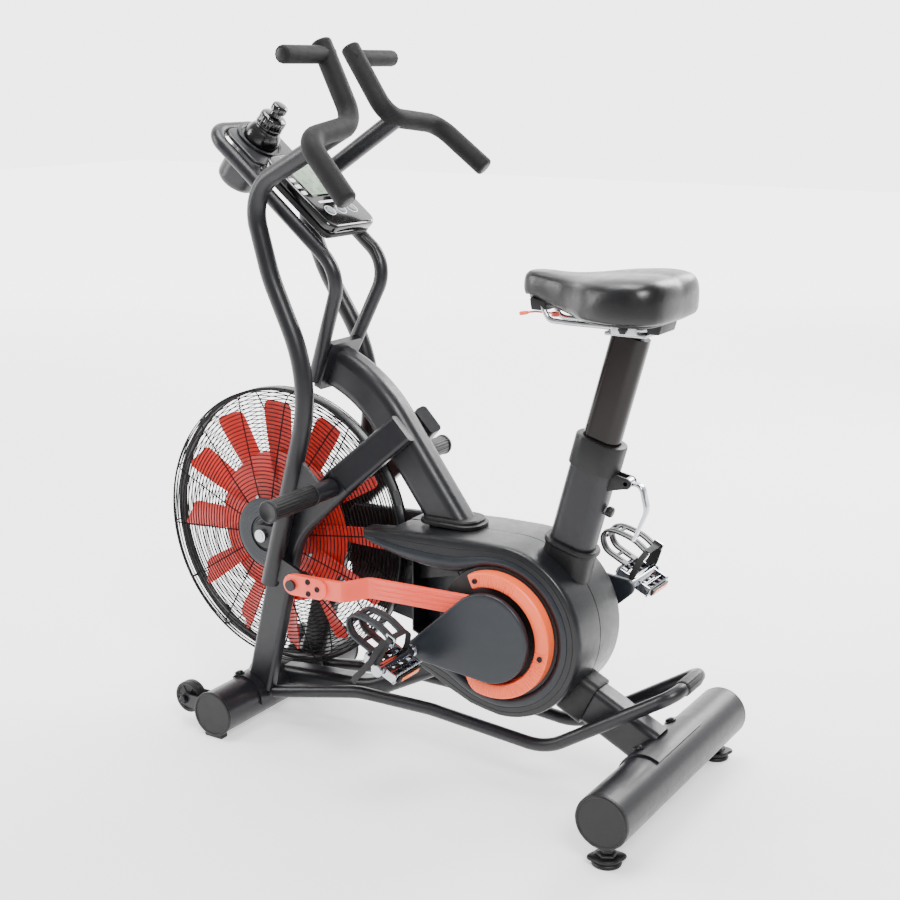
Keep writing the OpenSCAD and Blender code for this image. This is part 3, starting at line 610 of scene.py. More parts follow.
# The disc behind the crescent and the block inside the case take the near-black: painted shade in the gaps.
case_l.prism(arc(CRANK, 127, 0, 354, 59), -86, -60, mat=2)
case_l.prism([(-362, 196), (-362, 414), (-300, 425), (-300, 186)], -84, -1, mat=2)
case_l.obj("case_half_left", ["charcoal", "slate", "recess_shade"], "frame", "case_plastic", ["case_left"],
           sharp=40)


def shell(g, outline, y0, y1, wall, edge, mat=0):
    """A hollow tray: open at y0, closed at y1, all in millimetres."""
    s = 1 if y1 > y0 else -1
    levels = [(wall, y1 - s * wall), (wall, y0), (0, y0)]
    for k in range(5):
        a = math.pi / 2 * k / 4
        levels.append((edge * (1 - math.cos(a)), y1 - s * edge * (1 - math.sin(a))))
    contour(g, outline, levels, mat)


case_r = Shape()
# The shell takes the darker copy as painted shade; its raised ring and the belt guard take the lighter slate.
shell(case_r, rear_case_outline, 1, 85, 3, 7)
case_r.lathe([(0.150, -0.001), (0.150, 0.0035), (0.146, 0.006), (0.136, 0.0065), (0.128, 0.004),
              (0.125, -0.001)],
             B(LOBE[0], 85, LOBE[1]), -LEFT, mat=1, seg=96)
# The disc behind the crescent takes the near-black: painted shade in the gap.
case_r.prism(arc(CRANK, 122, 0, 354, 59), 80, 86, mat=2)
case_r.prism(belt_guard_outline, 54, 73, mat=1, edge=0.004)
case_r.obj("case_half_right", ["charcoal", "slate", "recess_shade"], "frame", "case_plastic", ["case_right"],
           sharp=40)

# The crescents keep their ribs in the mesh: every other section stands lower.
CRESCENT = [(0.121, 0.0), (0.121, 0.0215), (0.1185, 0.0240), (0.112, 0.0243), (0.104, 0.0243),
            (0.0965, 0.0240),
            (0.0945, 0.0232), (0.0925, 0.0205), (0.0915, 0.0)]
both_sides = (("left", -1), ("right", 1))
for side, s in both_sides:
    g = Shape()
    rings = []
    step = 0.8
    start, stop = -124, 114
    count = int((stop - start) / step)
    for i in range(count + 1):
        a = start + (stop - start) * i / count
        d = Vector((math.cos(math.radians(a)), 0, math.sin(math.radians(a))))
        ribbed = a > 62 or a < -6
        low = 0.0011 if i % 4 >= 2 and ribbed and 2 < i < count - 8 else 0
        end = min(1.0, (i + 1) / 26)
        ring = []
        for r, h in CRESCENT:
            r = 0.0915 + (r - 0.0915) * (0.12 + 0.88 * math.sin(end * math.pi / 2))
            ring.append(B(CRANK[0], s * 89.3, CRANK[1]) + d * r
                        + Vector((0, s * (h - (low if 0.022 < h else 0)), 0)))
        rings.append(ring)
    g.rings(rings)
    # The inner wall takes the darker red copy: painted shade.
    for i in range(len(g.faces) - 2):
        g.mats[i] = 1 if i % len(CRESCENT) in (6, 7) else 0
    g.obj(f"crescent_{side}", ["orange", "crescent_wall_shade"], "frame", "crescent_orange", ["crescent_guards"],
          sharp=30)
    g = Shape()
    for a in (-12, 108):
        x, z = polar(CRANK, 107, a)
        g.turned([(0.0052, 0), (0.0052, 0.0018), (0.0045, 0.0028), (0.0026, 0.0031), (0.0024, 0.0012),
                  (0, 0.0012)],
                 B(x, s * 113.4, z), (0, s, 0), seg=24)
    g.obj(f"crescent_screws_{side}", "black_bolt", "frame", "dark_bolts", ["case_screws"])

# Cranks and push rods

TILT = 199
CRANK_LEN = 170
DISC_R = 86
BOSS_R = 17
PEDAL_AT = {"left": polar(CRANK, CRANK_LEN, TILT), "right": polar(CRANK, CRANK_LEN, TILT - 180)}
PIN_AT = {"left": polar(CRANK, 50, 101.5), "right": polar(CRANK, 50, 281.5)}
for side, s in both_sides:
    tilt = TILT if side == "left" else TILT - 180
    g = Shape()
    swing = math.degrees(math.acos((DISC_R - BOSS_R) / CRANK_LEN))
    outline = arc(CRANK, DISC_R, tilt + swing, tilt + 360 - swing, 60)
    outline = anticlockwise(outline + arc(PEDAL_AT[side], BOSS_R, tilt - swing, tilt + swing, 14))
    put = lambda x, z, y, s=s: B(x, s * y, z)
    levels = [(3.5, 118.2), (1.2, 118.6), (0, 120), (0, 126.2), (0.5, 128), (1.8, 129.4), (4, 130),
              (9, 130.2)]
    g.rings([[put(x, z, y) for x, z in inset(outline, d)] for d, y in levels])
    x, z = CRANK
    g.turned([(0.019, 0), (0.019, 0.027), (0.016, 0.0285)], put(x, z, 90), (0, s, 0), seg=32)
    x, z = PEDAL_AT[side]
    g.turned([(0.0115, 0), (0.0115, 0.0015), (0.010, 0.0025), (0.0, 0.0025)], put(x, z, 130), (0, s, 0),
             mat=1, seg=24)
    g.turned([(0.008, 0), (0.008, 0.006), (0.007, 0.007)], put(*PIN_AT[side], 111.5), (0, s, 0), mat=1,
             seg=24)
    g.obj(f"crank_cover_{side}", ["slate", "steel"], "crank", "case_plastic", [f"crank_{side}"], sharp=40)

PEG = (-672, 534)
ARM_LEAD = math.radians(8)


def leading(p):
    """A side-view point of the left arm, turned about the peg to where the right arm has it."""
    dx, dz = p[0] - PEG[0], p[1] - PEG[1]
    c, n = math.cos(ARM_LEAD), math.sin(ARM_LEAD)
    return PEG[0] + dx * c - dz * n, PEG[1] + dx * n + dz * c


LINK_AT = {"left": (-730, 342), "right": leading((-730, 342))}
for side, s in both_sides:
    g = Shape()
    x0, z0 = LINK_AT[side]
    way = Vector((PIN_AT[side][0] - x0, PIN_AT[side][1] - z0)).normalized()

    def put(u, v, y, s=s, x0=x0, z0=z0, way=way):
        """u along the rod, v up across it, y out from the middle plane."""
        return B(x0 + way.x * u - way.y * v, s * y, z0 + way.y * u + way.x * v)

    walk = [(-20, 0, 152, 2), (-19, 0, 152, 8), (-16, 0, 152, 13), (-10, 0, 152, 17.5), (0, 0, 152, 20),
            (60, 0, 152, 20),
            (100, 0, 152, 20), (112, 0, 151, 20), (119, 0, 146, 20), (128, 0, 133, 20), (137, 0, 118, 20),
            (143, 0, 108.5, 20), (150, 0, 105, 20), (160, 0, 104.5, 20), (175, 1, 104.5, 20),
            (190, 1, 104.5, 20), (350, 1, 104.5, 20),
            (362, 0.6, 104.5, 20), (372, 0, 104.5, 20), (392, 0, 104.5, 17.5), (405, 0, 104.5, 15),
            (416, 0, 104.5, 13),
            (422, 0, 104.5, 8), (425, 0, 104.5, 2)]
    rings = []
    for i, (u, groove, y, half) in enumerate(walk):
        a, b = walk[max(i - 1, 0)], walk[min(i + 1, len(walk) - 1)]
        tangent = Vector((b[0] - a[0], b[2] - a[2])).normalized()
        nx, ny = -tangent.y, tangent.x
        half_t = 5.2
        d = 1.3 * groove
        face = [(-1, 0.8), (-0.96, 0), (-0.55, 0), (-0.51, d), (-0.43, d), (-0.39, 0), (-0.06, 0),
                (-0.02, d), (0.06, d),
                (0.10, 0), (0.43, 0), (0.47, d), (0.55, d), (0.59, 0), (0.96, 0), (1, 0.8)]
        ring = [put(u + nx * (half_t - c), v * half, y + ny * (half_t - c)) for v, c in face]
        ring += [put(u - nx * (half_t - c), v * half, y - ny * (half_t - c)) for v,
                 c in ((1, 0.8), (0.96, 0), (-0.96, 0), (-1, 0.8))]
        rings.append(ring)
    g.rings(rings)
    plate = arc((0, 0), 21, 90, 270, 20) + arc((62, 0), 21, -90, 90, 20)
    g.prism(plate, 157.2, 163, place=put, edge=0.0012)
    for u, v, r in ((40, 12, 5.6), (40, -12, 5.6), (62, 0, 5.6)):
        g.turned([(r * MM, 0), (r * MM, 0.0014), (r * 0.8 * MM, 0.0026), (r * 0.5 * MM, 0.0028),
                  (r * 0.44 * MM, 0.0012), (0, 0.0012)],
                 put(u, v, 163), (0, s, 0), mat=1, seg=24)
    g.obj(f"push_rod_{side}", ["coral", "black_bolt"], f"link_{side}", "link_coral", [f"link_{side}"],
          sharp=28)


# Handles and grips


def foam_bar(g, path, r, mat=0, seg=20, end=0.006):
    """A foam sleeve with rounded ends."""
    n = 5
    pts = [Vector(p) for p in path]
    head = (pts[1] - pts[0]).normalized()
    tail = (pts[-2] - pts[-1]).normalized()
    walk = [pts[0] + head * end * (1 - math.cos(math.pi / 2 * k / n)) for k in range(n)]
    size = [0.70 + 0.30 * math.sin(math.pi / 2 * k / n) for k in range(n)]
    inner = [p for p in pts[1:-1] if (p - pts[0]).length > end * 1.3 and (p - pts[-1]).length > end * 1.3]
    walk += [pts[0] + head * end] + inner + [pts[-1] + tail * end]
    size += [1.0] * (len(inner) + 2)
    walk += [pts[-1] + tail * end * (1 - math.cos(math.pi / 2 * k / n)) for k in range(n - 1, -1, -1)]
    size += [0.70 + 0.30 * math.sin(math.pi / 2 * k / n) for k in range(n - 1, -1, -1)]
    g.tube(walk, r, mat, seg, scale=size)


def handle_place(side):
    """Carries the left arm's points to that side's arm."""
    if side == "left":
        return lambda p: B(*p)
    lead = Matrix.Rotation(-ARM_LEAD, 4, "Y")
    peg = B(PEG[0], 0, PEG[1])
    return lambda p: peg + lead @ (B(p[0], -p[1], p[2]) - peg)


for side, s in both_sides:
    put = handle_place(side)
    g = Shape()
    main = [put(p) for p in ((-662, -124, 1366), (-592, -123, 1222), (-580, -280, 1202), (-486, -292, 1103))]
    foam_bar(g, smooth_path(main, [0.045, 0.045], 0.006), 0.0192, seg=24)
    cross = [put(p) for p in ((-650, -252, 1342), (-650, -180, 1342), (-650, -108, 1342))]
    foam_bar(g, [cross[0], cross[0].lerp(cross[2], 0.3), cross[0].lerp(cross[2], 0.7), cross[2]], 0.0162,
             seg=12)
    for p, q, r in ((main[0], main[1], 0.0122), (main[3], main[2], 0.0122), (cross[0], cross[2], 0.0105)):
        out = (p - q).normalized()
        g.turned([(r, -0.004), (r, 0.0004), (r * 0.8, 0.0012), (0, 0.0014)], p, out, mat=1, seg=24)
    g.obj(f"handle_grips_{side}", ["foam", "trim"], f"arm_{side}", "grip_rubber", [f"handle_{side}"],
          sharp=50)

    g = Shape()
    flutes = 20
    section = []
    for i in range(flutes * 6):
        a = 2 * math.pi * i / (flutes * 6)
        r = 0.0200 - 0.0011 * (0.5 + 0.5 * math.cos(a * flutes)) ** 2
        section.append((r * math.cos(a), r * math.sin(a)))
    walk, size = [], []
    for y, f in ((167.5, 0.80), (168, 0.97), (170, 1.0), (292, 1.0), (294, 0.985)):
        walk.append(B(PEG[0], s * y, PEG[1]))
        size.append(f)
    g.sweep(walk, section, normal=(1, 0, 0), scale=size)
    g.turned([(0.0212, 0.0), (0.0215, 0.002), (0.0215, 0.005), (0.0195, 0.0075), (0.0180, 0.0075),
              (0.0175, 0.0068), (0, 0.0066)],
             B(PEG[0], s * 293, PEG[1]), (0, s, 0), mat=1, seg=48)
    g.turned([(0.0205, 0.0), (0.0215, 0.001), (0.0215, 0.004), (0.0205, 0.005)],
             B(PEG[0], s * 166.5, PEG[1]), (0, s, 0), mat=1, seg=48)
    g.obj(f"peg_grip_{side}", ["rubber", "trim"], "frame", "grip_rubber", ["frame_grips"], sharp=60)

g = Shape()
section = []
for i in range(96):
    a = 2 * math.pi * i / 96
    section.append(((0.0152 - 0.0006 * (0.5 + 0.5 * math.cos(a * 16))) * math.cos(a),
                    (0.0152 - 0.0006 * (0.5 + 0.5 * math.cos(a * 16))) * math.sin(a)))
walk = [B(38, y, 252) for y in (-30, -28.5, -26, 26, 28.5, 30)]
g.sweep(walk, section, normal=(1, 0, 0), scale=[0.86, 0.97, 1, 1, 0.97, 0.86])
g.obj("lift_sleeve", "rubber", "frame", "grip_rubber", ["frame_grips"], sharp=60)

# Feet

REAR_FOOT = (0, 88)
FRONT_FOOT = (-897, 51)
WHEEL = (-982, 60)
g = Shape()
for s in (-1, 1):
    g.turned([(0.046, -0.010), (0.046, -0.006), (0.0494, -0.006), (0.0500, -0.0045), (0.0494, -0.0015),
              (0.047, 0.0), (0.0445, -0.0003),
              (0.0440, -0.0012), (0.0, -0.0016)], B(REAR_FOOT[0], s * 268, REAR_FOOT[1]), (0, s, 0), seg=72)
    g.turned([(0.041, -0.010), (0.041, -0.006), (0.0465, -0.006), (0.0472, -0.0045), (0.0465, -0.0012),
              (0.044, 0.0), (0.0415, -0.0003),
              (0.0410, -0.0014), (0.0, -0.0020)], B(FRONT_FOOT[0], s * 224, FRONT_FOOT[1]), (0, s, 0), seg=72)
    heel = rounded_outline([(-24, 0), (24, 0), (21, 16), (-21, 16)], 4)
    g.prism(heel, 203, 221, place=lambda x, z, y, s=s: B(FRONT_FOOT[0] + x, s * y, z), edge=0.002)
g.obj("end_caps", "trim", "frame", "trim_plastic", ["foot_end_caps"])

for side, s in both_sides:
    g = Shape()
    at = B(0, s * 240, 0)
    up = (0, 0, 1)
    lobes = []
    for i in range(120):
        a = 2 * math.pi * i / 120
        wing = max(0.0, math.cos(2 * (a - math.radians(35)))) ** 3
        lobes.append((math.cos(a), math.sin(a), 0.0265 + 0.0085 * wing))
    rings = []
    for z, f in ((0.0075, 0.55), (0.0085, 0.86), (0.0100, 0.97), (0.0125, 1.0), (0.0150, 0.97),
                 (0.0162, 0.90), (0.0168, 0.6), (0.0172, 0.4)):
        rings.append([at + Vector((c * r * f, d * r * f, z)) for c, d, r in lobes])
    g.rings(rings)
    g.turned([(0.023, 0.0), (0.0262, 0.0006), (0.0268, 0.003), (0.0255, 0.0065), (0.022, 0.0085),
              (0.018, 0.0085)], at, up, seg=64)
    g.turned([(0.019, 0.0165), (0.0195, 0.019), (0.017, 0.022), (0.0125, 0.0235), (0.0115, 0.030),
              (0.0108, 0.0335), (0.0065, 0.034)],
             at, up, mat=0, seg=6)
    thread = [(0.0058, 0.033)]
    for k in range(14):
        thread += [(0.0061, 0.0335 + k * 0.0017), (0.0053, 0.0343 + k * 0.0017)]
    thread += [(0.0058, 0.058)]
    g.turned(thread, at, up, mat=1, seg=24)
    g.obj(f"levelling_foot_{side}", ["trim", "black_bolt"], f"foot_{side}", "trim_plastic",
          [f"foot_{side}"], sharp=40)

    g = Shape()
    at = B(WHEEL[0], s * 188, WHEEL[1])
    tread = [(0.0052, -0.015), (0.011, -0.015), (0.0118, -0.0142), (0.0118, -0.009), (0.0252, -0.009),
             (0.0262, -0.0108),
             (0.0300, -0.0118), (0.0322, -0.0108), (0.0330, -0.008), (0.0330, -0.0012), (0.0322, -0.0006),
             (0.0322, 0.0006), (0.0330, 0.0012),
             (0.0330, 0.008), (0.0322, 0.0108), (0.0300, 0.0118), (0.0262, 0.0108), (0.0252, 0.009),
             (0.0118, 0.009), (0.0118, 0.0142),
             (0.011, 0.015), (0.0052, 0.015)]
    g.lathe(tread, at, (0, s, 0), seg=72)
    for k in range(6):
        a = math.radians(60 * k)
        d = Vector((math.cos(a), 0, math.sin(a)))
        g.sweep([at + d * 0.0105, at + d * 0.0262], box_section(0.0045, 0.0215, 0.001), normal=(d.z, 0, -d.x))
    g.obj(f"transport_wheel_{side}", "rubber", f"wheel_{side}", "wheel_plastic", [f"wheel_{side}"], sharp=35)

def socket_bolt(g, at, axis, r, mat=0, socket_shade_mat=1):
    """A button head with a hexagonal socket, its inside painted darker as shade."""
    axis = Vector(axis).normalized()
    g.turned([(r, 0), (r * 1.0, r * 0.18), (r * 0.93, r * 0.36), (r * 0.78, r * 0.5), (r * 0.58, r * 0.56),
              (r * 0.50, r * 0.56)], at, axis, mat, 32)
    g.turned([(r * 0.45, r * 0.565), (r * 0.40, r * 0.28)], at, axis, socket_shade_mat, 6)


g = Shape()
for s in (-1, 1):
    g.turned([(0.0049, 0), (0.0049, 0.046)], B(WHEEL[0], s * 188 - 23, WHEEL[1]), (0, 1, 0), seg=20)
    for centre, r, a, ys in ((REAR_FOOT, 50, 118, (70,)), (FRONT_FOOT, 45, 110, (64, 114))):
        for y in ys:
            d = Vector((math.cos(math.radians(a)), 0, math.sin(math.radians(a))))
            at = B(centre[0], s * y, centre[1]) + d * (r + 4.3) * MM
            g.turned([(0.0118, 0), (0.0118, 0.0014), (0.0105, 0.0018), (0.008, 0.0018)], at, d, seg=32)
            socket_bolt(g, at + d * 0.0016, d, 0.0090)
    for y, way in ((s * 166, -s), (s * 210.5, s)):
        g.turned([(0.0095, 0), (0.0095, 0.0012), (0.0075, 0.0013)], B(WHEEL[0], y, WHEEL[1]), (0, way, 0),
                 seg=32)
        g.turned([(0.0083, 0.0012), (0.0083, 0.0050), (0.0070, 0.0062), (0, 0.0062)],
                 B(WHEEL[0], y, WHEEL[1]), (0, way, 0), seg=6)
g.obj("bolt_heads", ["black_bolt", "recess_shade"], "frame", "dark_bolts", ["foot_bolts"], sharp=35)


# Pedals

def pedal_piece(side, s):
    g = Shape()
    cx, cz = PEDAL_AT[side]
    turn = math.radians(24)

    def put(x, z, y):
        """A place in the pedal's own frame, which is tipped about its axle."""
        return B(cx + x * math.cos(turn) + z * math.sin(turn), s * y, cz - x * math.sin(turn) + z
                 * math.cos(turn))

    def bar(points, w, h, mat, r=0.001, normal=None):
        g.sweep([put(*p) for p in points], box_section(w * MM, h * MM, r), mat, normal=normal or (0, 1, 0))

    # 0 chrome, 1 trim, 2 cage plastic, 3 reflector, 4 strap
    axle = [(0, 0, y) for y in (119, 138, 139, 150, 236, 245, 247)]
    g.tube([put(*p) for p in axle], 0.0069, 0, 20, scale=[1, 1, 1.6, 1.75, 1.5, 1.5, 1.1])
    g.turned([(0.0125, 0), (0.0125, 0.003), (0.0105, 0.005), (0.006, 0.0055), (0, 0.0055)], put(0, 0, 245),
             (0, s, 0), 0, 24)
    for y in (156, 236):
        frame_line = rounded_outline([(-38, -9), (38, -9), (38, 9), (-38, 9)], 5)
        g.prism(frame_line, y - 2.5, y + 2.5, 0, 0.001, place=put)
    for e in (-1, 1):
        # toothed cage plates along the axle
        n = 11
        line = [(150, -9)]
        for k in range(n):
            y = 152 + (238 - 152) * k / n
            line += [(y, 8.5), (y + 2.6, 12), (y + 5.2, 8.5)]
        line += [(240, -9)]
        g.prism(line, e * 36 - 1.6, e * 36 + 1.6, 0, 0.0005, place=lambda y, z, x: put(x, z, y), steps=1)
        g.prism(rounded_outline([(160, -7), (230, -7), (230, 6), (160, 6)], 2), e * 40.5 - 2.2,
                e * 40.5 + 2.2, 1, 0.0008,
                place=lambda y, z, x: put(x, z, y), steps=1)
        g.prism(rounded_outline([(168, -5), (222, -5), (222, 4), (168, 4)], 1.5), e * 43.0 - 1.0,
                e * 43.0 + 1.0, 3, 0.0005,
                place=lambda y, z, x: put(x, z, y), steps=1)
    for x in (-22, 22):
        bar([(x, 0, 154), (x, 0, 238)], 8, 12, 0)
    for y in (172, 196, 218):
        bar([(-34, 0, y), (34, 0, y)], 6, 9, 1, normal=(0, 0, 1))
    # toe cage: two ribbed bows, cross pieces and a front bumper
    bow = [(-34, 11), (-60, 12), (-84, 15), (-99, 28), (-103, 42), (-94, 54), (-72, 61), (-40, 64), (-6, 57)]
    for y in (182, 220):
        fine = spline([put(x, z, y) for x, z in bow], 6, closed=False)
        g.sweep(fine, box_section(0.019, 0.0042, 0.001), 2)
        g.sweep(fine[3:-2], box_section(0.0035, 0.0068, 0.0008), 2)
    for x, z in ((-101, 32), (-99, 48), (-78, 59.5), (-48, 63), (-12, 59), (-62, 12)):
        bar([(x, z, 184), (x, z, 218)], 7, 4, 2)
    for x, z in ((-96, 38), (-88, 57)):
        bar([(x, z, 186), (x, z, 216)], 3, 6, 2)
    # strap through the top of the cage, round the pedal's outer side, with its loose end
    loop = [(-8, 61, 176), (-8, 62.5, 200), (-8, 62, 226), (-7, 52, 241), (-5, 20, 246.5), (-4, -10, 246),
            (-4, -15, 236),
            (-4, -15, 200), (-4, -15, 160), (-5, -10, 149.5), (-6, 20, 150), (-8, 48, 160), (-8, 60, 174)]
    g.sweep([put(*p) for p in loop], box_section(0.0125, 0.0020, 0.0006), 4, normal=put(1, 0, 0)
            - put(0, 0, 0))
    tail = [(-12, 58, 238), (-13, 40, 249), (-16, 10, 252), (-24, -18, 253), (-32, -38, 252), (-34, -52, 250)]
    g.sweep([put(*p) for p in tail], box_section(0.0125, 0.0018, 0.0006), 4, normal=put(1, 0, 0)
            - put(0, 0, 0))
    g.prism(rounded_outline([(-19, 54), (3, 54), (3, 68), (-19, 68)], 2), 224, 229, 0, 0.0006, place=put,
            steps=1)
    g.obj(f"pedal_set_{side}", ["chrome", "trim", "cage", "reflector", "strap"], f"pedal_{side}", "chrome",
          [f"pedal_{side}"], sharp=30)


for side, s in both_sides:
    pedal_piece(side, s)

# Seat

SEAT_LEAN = math.radians(15)
SEAT_TOP = (-150, 668)
POST_SHOW = 212
POST_TOP = (SEAT_TOP[0] + POST_SHOW * math.sin(SEAT_LEAN), SEAT_TOP[1] + POST_SHOW * math.cos(SEAT_LEAN))
KNOB_Z = -112
LEVER_AT = (-93, 606)
NOSE_X = -309
RAIL_Z = POST_TOP[1] + 13
PAD_Z = RAIL_Z + 26.3


def saddle_outline():
    """The saddle from above, in bike millimetres, anticlockwise."""
    half = [(-309, 0), (-306, 13), (-297, 23), (-280, 31), (-240, 42), (-208, 54), (-182, 71), (-163, 88),
            (-146, 102),
            (-126, 112), (-100, 118.5), (-74, 120), (-48, 117.5), (-26, 108), (-10, 90), (-4, 66), (-2, 38),
            (-2, 0)]
    return anticlockwise(half + [(x, -y) for x, y in half[-2:0:-1]])


def ease(t):
    """A smooth step from 0 to 1."""
    t = max(0.0, min(1.0, t))
    return t * t * (3 - 2 * t)


def pad_base(x):
    """Height of the skirt's lower edge: it rises to the nose."""
    return 12 - 20 * ease((x - NOSE_X) / 150)


def pad_top(x, y):
    """Height of the saddle's top: low nose, dip behind it, raised seat with a shallow channel."""
    along = (x - NOSE_X) / 307
    z = 55 + 4 * math.exp(-((along - 0.1) / 0.14) ** 2) + 13 * ease((along - 0.2) / 0.65)
    return z - 3 * math.exp(-(y / 16) ** 2) * ease((along - 0.3) * 4)


def soften(o, voxel, cap):
    """Voxel remesh, then cloth pressure with a cap on how far points move."""
    bpy.context.view_layer.objects.active = o
    rm = o.modifiers.new("remesh", "REMESH")
    rm.mode = "VOXEL"
    rm.voxel_size = voxel
    apply_modifier(o, rm)
    rest = [v.co.copy() for v in o.data.vertices]
    pins = o.vertex_groups.new(name="held")
    low = min(v.co.z for v in o.data.vertices)
    pins.add([v.index for v in o.data.vertices if v.co.z < low + 0.012], 1.0, "REPLACE")
    cloth = o.modifiers.new("cloth", "CLOTH")
    c = cloth.settings
    c.quality = 6
    c.mass = 0.3
    c.tension_stiffness = 18
    c.compression_stiffness = 18
    c.bending_stiffness = 2.5
    c.use_pressure = True
    c.uniform_pressure_force = 4
    c.effector_weights.gravity = 0
    c.vertex_group_mass = "held"
    cloth.point_cache.frame_start = 1
    cloth.point_cache.frame_end = 20
    for f in range(1, 21):
        scene.frame_set(f)
    deps = bpy.context.evaluated_depsgraph_get()
    moved = [v.co.copy() for v in o.evaluated_get(deps).data.vertices]
    o.modifiers.remove(cloth)
    scene.frame_set(1)
    for v, a, b in zip(o.data.vertices, rest, moved):
        d = b - a
        v.co = a + d * min(1.0, cap / max(d.length, 1e-9))
    o.vertex_groups.clear()


def apply_modifier(o, m):
    deps = bpy.context.evaluated_depsgraph_get()
    mesh = bpy.data.meshes.new_from_object(o.evaluated_get(deps))
    old = o.data
    mats = list(old.materials)
    o.modifiers.remove(m)
    o.data = mesh
    if not mesh.materials:
        for k in mats:
            mesh.materials.append(k)
    bpy.data.meshes.remove(old)


pad = Shape()
rings = []
plan = spline(saddle_outline(), 4)
# Shares of the outline: the skirt with a lift in millimetres, the crown with a share of its height
SKIRT = [(0.2, 3), (0.6, 3), (0.86, 2), (0.93, 0), (0.965, 1), (0.988, 5), (0.998, 12)]
CROWN = [(1.0, 0.40), (0.995, 0.55), (0.975, 0.70), (0.94, 0.83), (0.88, 0.92), (0.78, 0.97), (0.62, 0.99),
         (0.45, 1.0), (0.2, 1.0)]


def drawn_in(share, height):
    """The saddle's outline drawn in by a share, towards the spine of the saddle and not to a single point."""
    ring = []
    for x, y in plan:
        cx = max(-285, min(-75, x))
        px, py = cx + (x - cx) * share, y * share
        ring.append(B(px, py, PAD_Z + height(px, py)))
    return ring


for share, lift in SKIRT:
    rings.append(drawn_in(share, lambda x, y: pad_base(x) + lift))
for share, lift in CROWN:
    rings.append(drawn_in(share, lambda x, y: pad_top(x, y) * lift))
pad.rings(rings)
saddle = pad.obj("saddle_cushion", "vinyl", "saddle", "saddle_vinyl", ["saddle_pad"], sharp=180)
soften(saddle, 0.005, 0.002)
smooth = saddle.modifiers.new("smooth", "SMOOTH")
smooth.factor = 0.5
smooth.iterations = 24
apply_modifier(saddle, smooth)
sub = saddle.modifiers.new("fine", "SUBSURF")
sub.levels = sub.render_levels = 1
saddle.data.polygons.foreach_set("use_smooth", [True] * len(saddle.data.polygons))

g = Shape()


def plan_rings(levels):
    out = []
    for d, z in levels:
        out.append([B(x, y, z + pad_base(x) + 8) for x, y in inset(plan, d)])
    return out


g.rings(plan_rings([(24, RAIL_Z + 14), (17, RAIL_Z + 15), (13, RAIL_Z + 18), (12, RAIL_Z + 24),
                    (20, RAIL_Z + 27)]))
g.prism(rounded_outline([(-282, RAIL_Z + 17), (-252, RAIL_Z + 17), (-252, RAIL_Z + 36),
                         (-286, RAIL_Z + 40)], 4), -26, 26, 0, 0.003)
g.prism(rounded_outline([(-52, RAIL_Z - 5), (-30, RAIL_Z - 5), (-24, RAIL_Z + 18), (-56, RAIL_Z + 18)], 4),
        -34, 34, 0, 0.003)
for s in (-1, 1):
    rail = [B(-262, s * 21, RAIL_Z + 26), B(-246, s * 23, RAIL_Z + 1), B(-205, s * 24, RAIL_Z),
            B(-62, s * 24, RAIL_Z), B(-46, s * 26, RAIL_Z + 5), B(-36, s * 31, RAIL_Z + 14)]
    g.tube(smooth_path(rail, [0.018, 0.02, 0.014, 0.01], 0.004), 0.005, 1, 14)
    g.turned([(0.009, 0), (0.009, 0.004), (0.006, 0.006)], B(-42, s * 32, RAIL_Z + 13), (0, 0, 1), 1, 20)
g.obj("saddle_base", ["trim", "steel"], "saddle", "trim_plastic", ["saddle_shell"], sharp=45)

g = Shape()
px = POST_TOP[0]
for s in (-1, 1):
    clamp = rounded_outline([(px - 24, RAIL_Z - 11), (px + 24, RAIL_Z - 11), (px + 24, RAIL_Z + 11),
                             (px - 24, RAIL_Z + 11)], 5)
    g.prism(clamp, s * 13 if s > 0 else -36, 36 if s > 0 else -13, 0, 0.002)
g.prism(rounded_outline([(px - 20, RAIL_Z - 10), (px + 20, RAIL_Z - 10), (px + 20, RAIL_Z + 8),
                         (px - 20, RAIL_Z + 8)], 5), -14, 14, 1, 0.002)
g.prism(rounded_outline([(px - 42, RAIL_Z - 15), (px + 37, RAIL_Z - 15), (px + 37, RAIL_Z - 8),
                         (px - 42, RAIL_Z - 8)], 2), -25, 25, 0, 0.002)
g.turned([(0.0045, 0.0), (0.0045, 0.074)], B(px, -37, RAIL_Z), (0, 1, 0), 1, 16)
for s in (-1, 1):
    g.turned([(0.0085, 0), (0.0085, 0.0050), (0.007, 0.0058), (0, 0.0058)], B(px, s * 36, RAIL_Z),
             (0, s, 0), 1, 6)
g.obj("rail_clamp", ["steel", "trim"], "post", "trim_plastic", ["post_head"], sharp=35)

g = Shape()
path = smooth_path([B(-246, 0, RAIL_Z + 13), B(-246, 0, RAIL_Z + 10), B(-282, -10, RAIL_Z + 12),
                    B(-304, -16, RAIL_Z + 8)], [0.003, 0.03], 0.003)
g.sweep(path, box_section(0.0065, 0.0034, 0.0012), normal=(0, 1, 0))
g.turned([(0.0075, 0), (0.0075, 0.0070), (0.006, 0.008)], B(-246, 0, RAIL_Z + 5), (0, 0, 1), 0, 24)
g.turned([(0.0030, -0.004), (0.0038, 0.0), (0.0038, 0.010), (0.0026, 0.012), (0, 0.0123)],
         B(-298, -14.4, RAIL_Z + 9.1), B(-304, -16, RAIL_Z + 8) - B(-282, -10, RAIL_Z + 12), 0, 20)
g.obj("saddle_lever_bar", "coral", "saddle_lever", "link_coral", ["saddle_lever"], sharp=40)


def seat_axis(x, y, z):
    """A place in the seat tube's own frame."""
    c, n = math.cos(SEAT_LEAN), math.sin(SEAT_LEAN)
    return B(SEAT_TOP[0] + x * c + z * n, y, SEAT_TOP[1] - x * n + z * c)


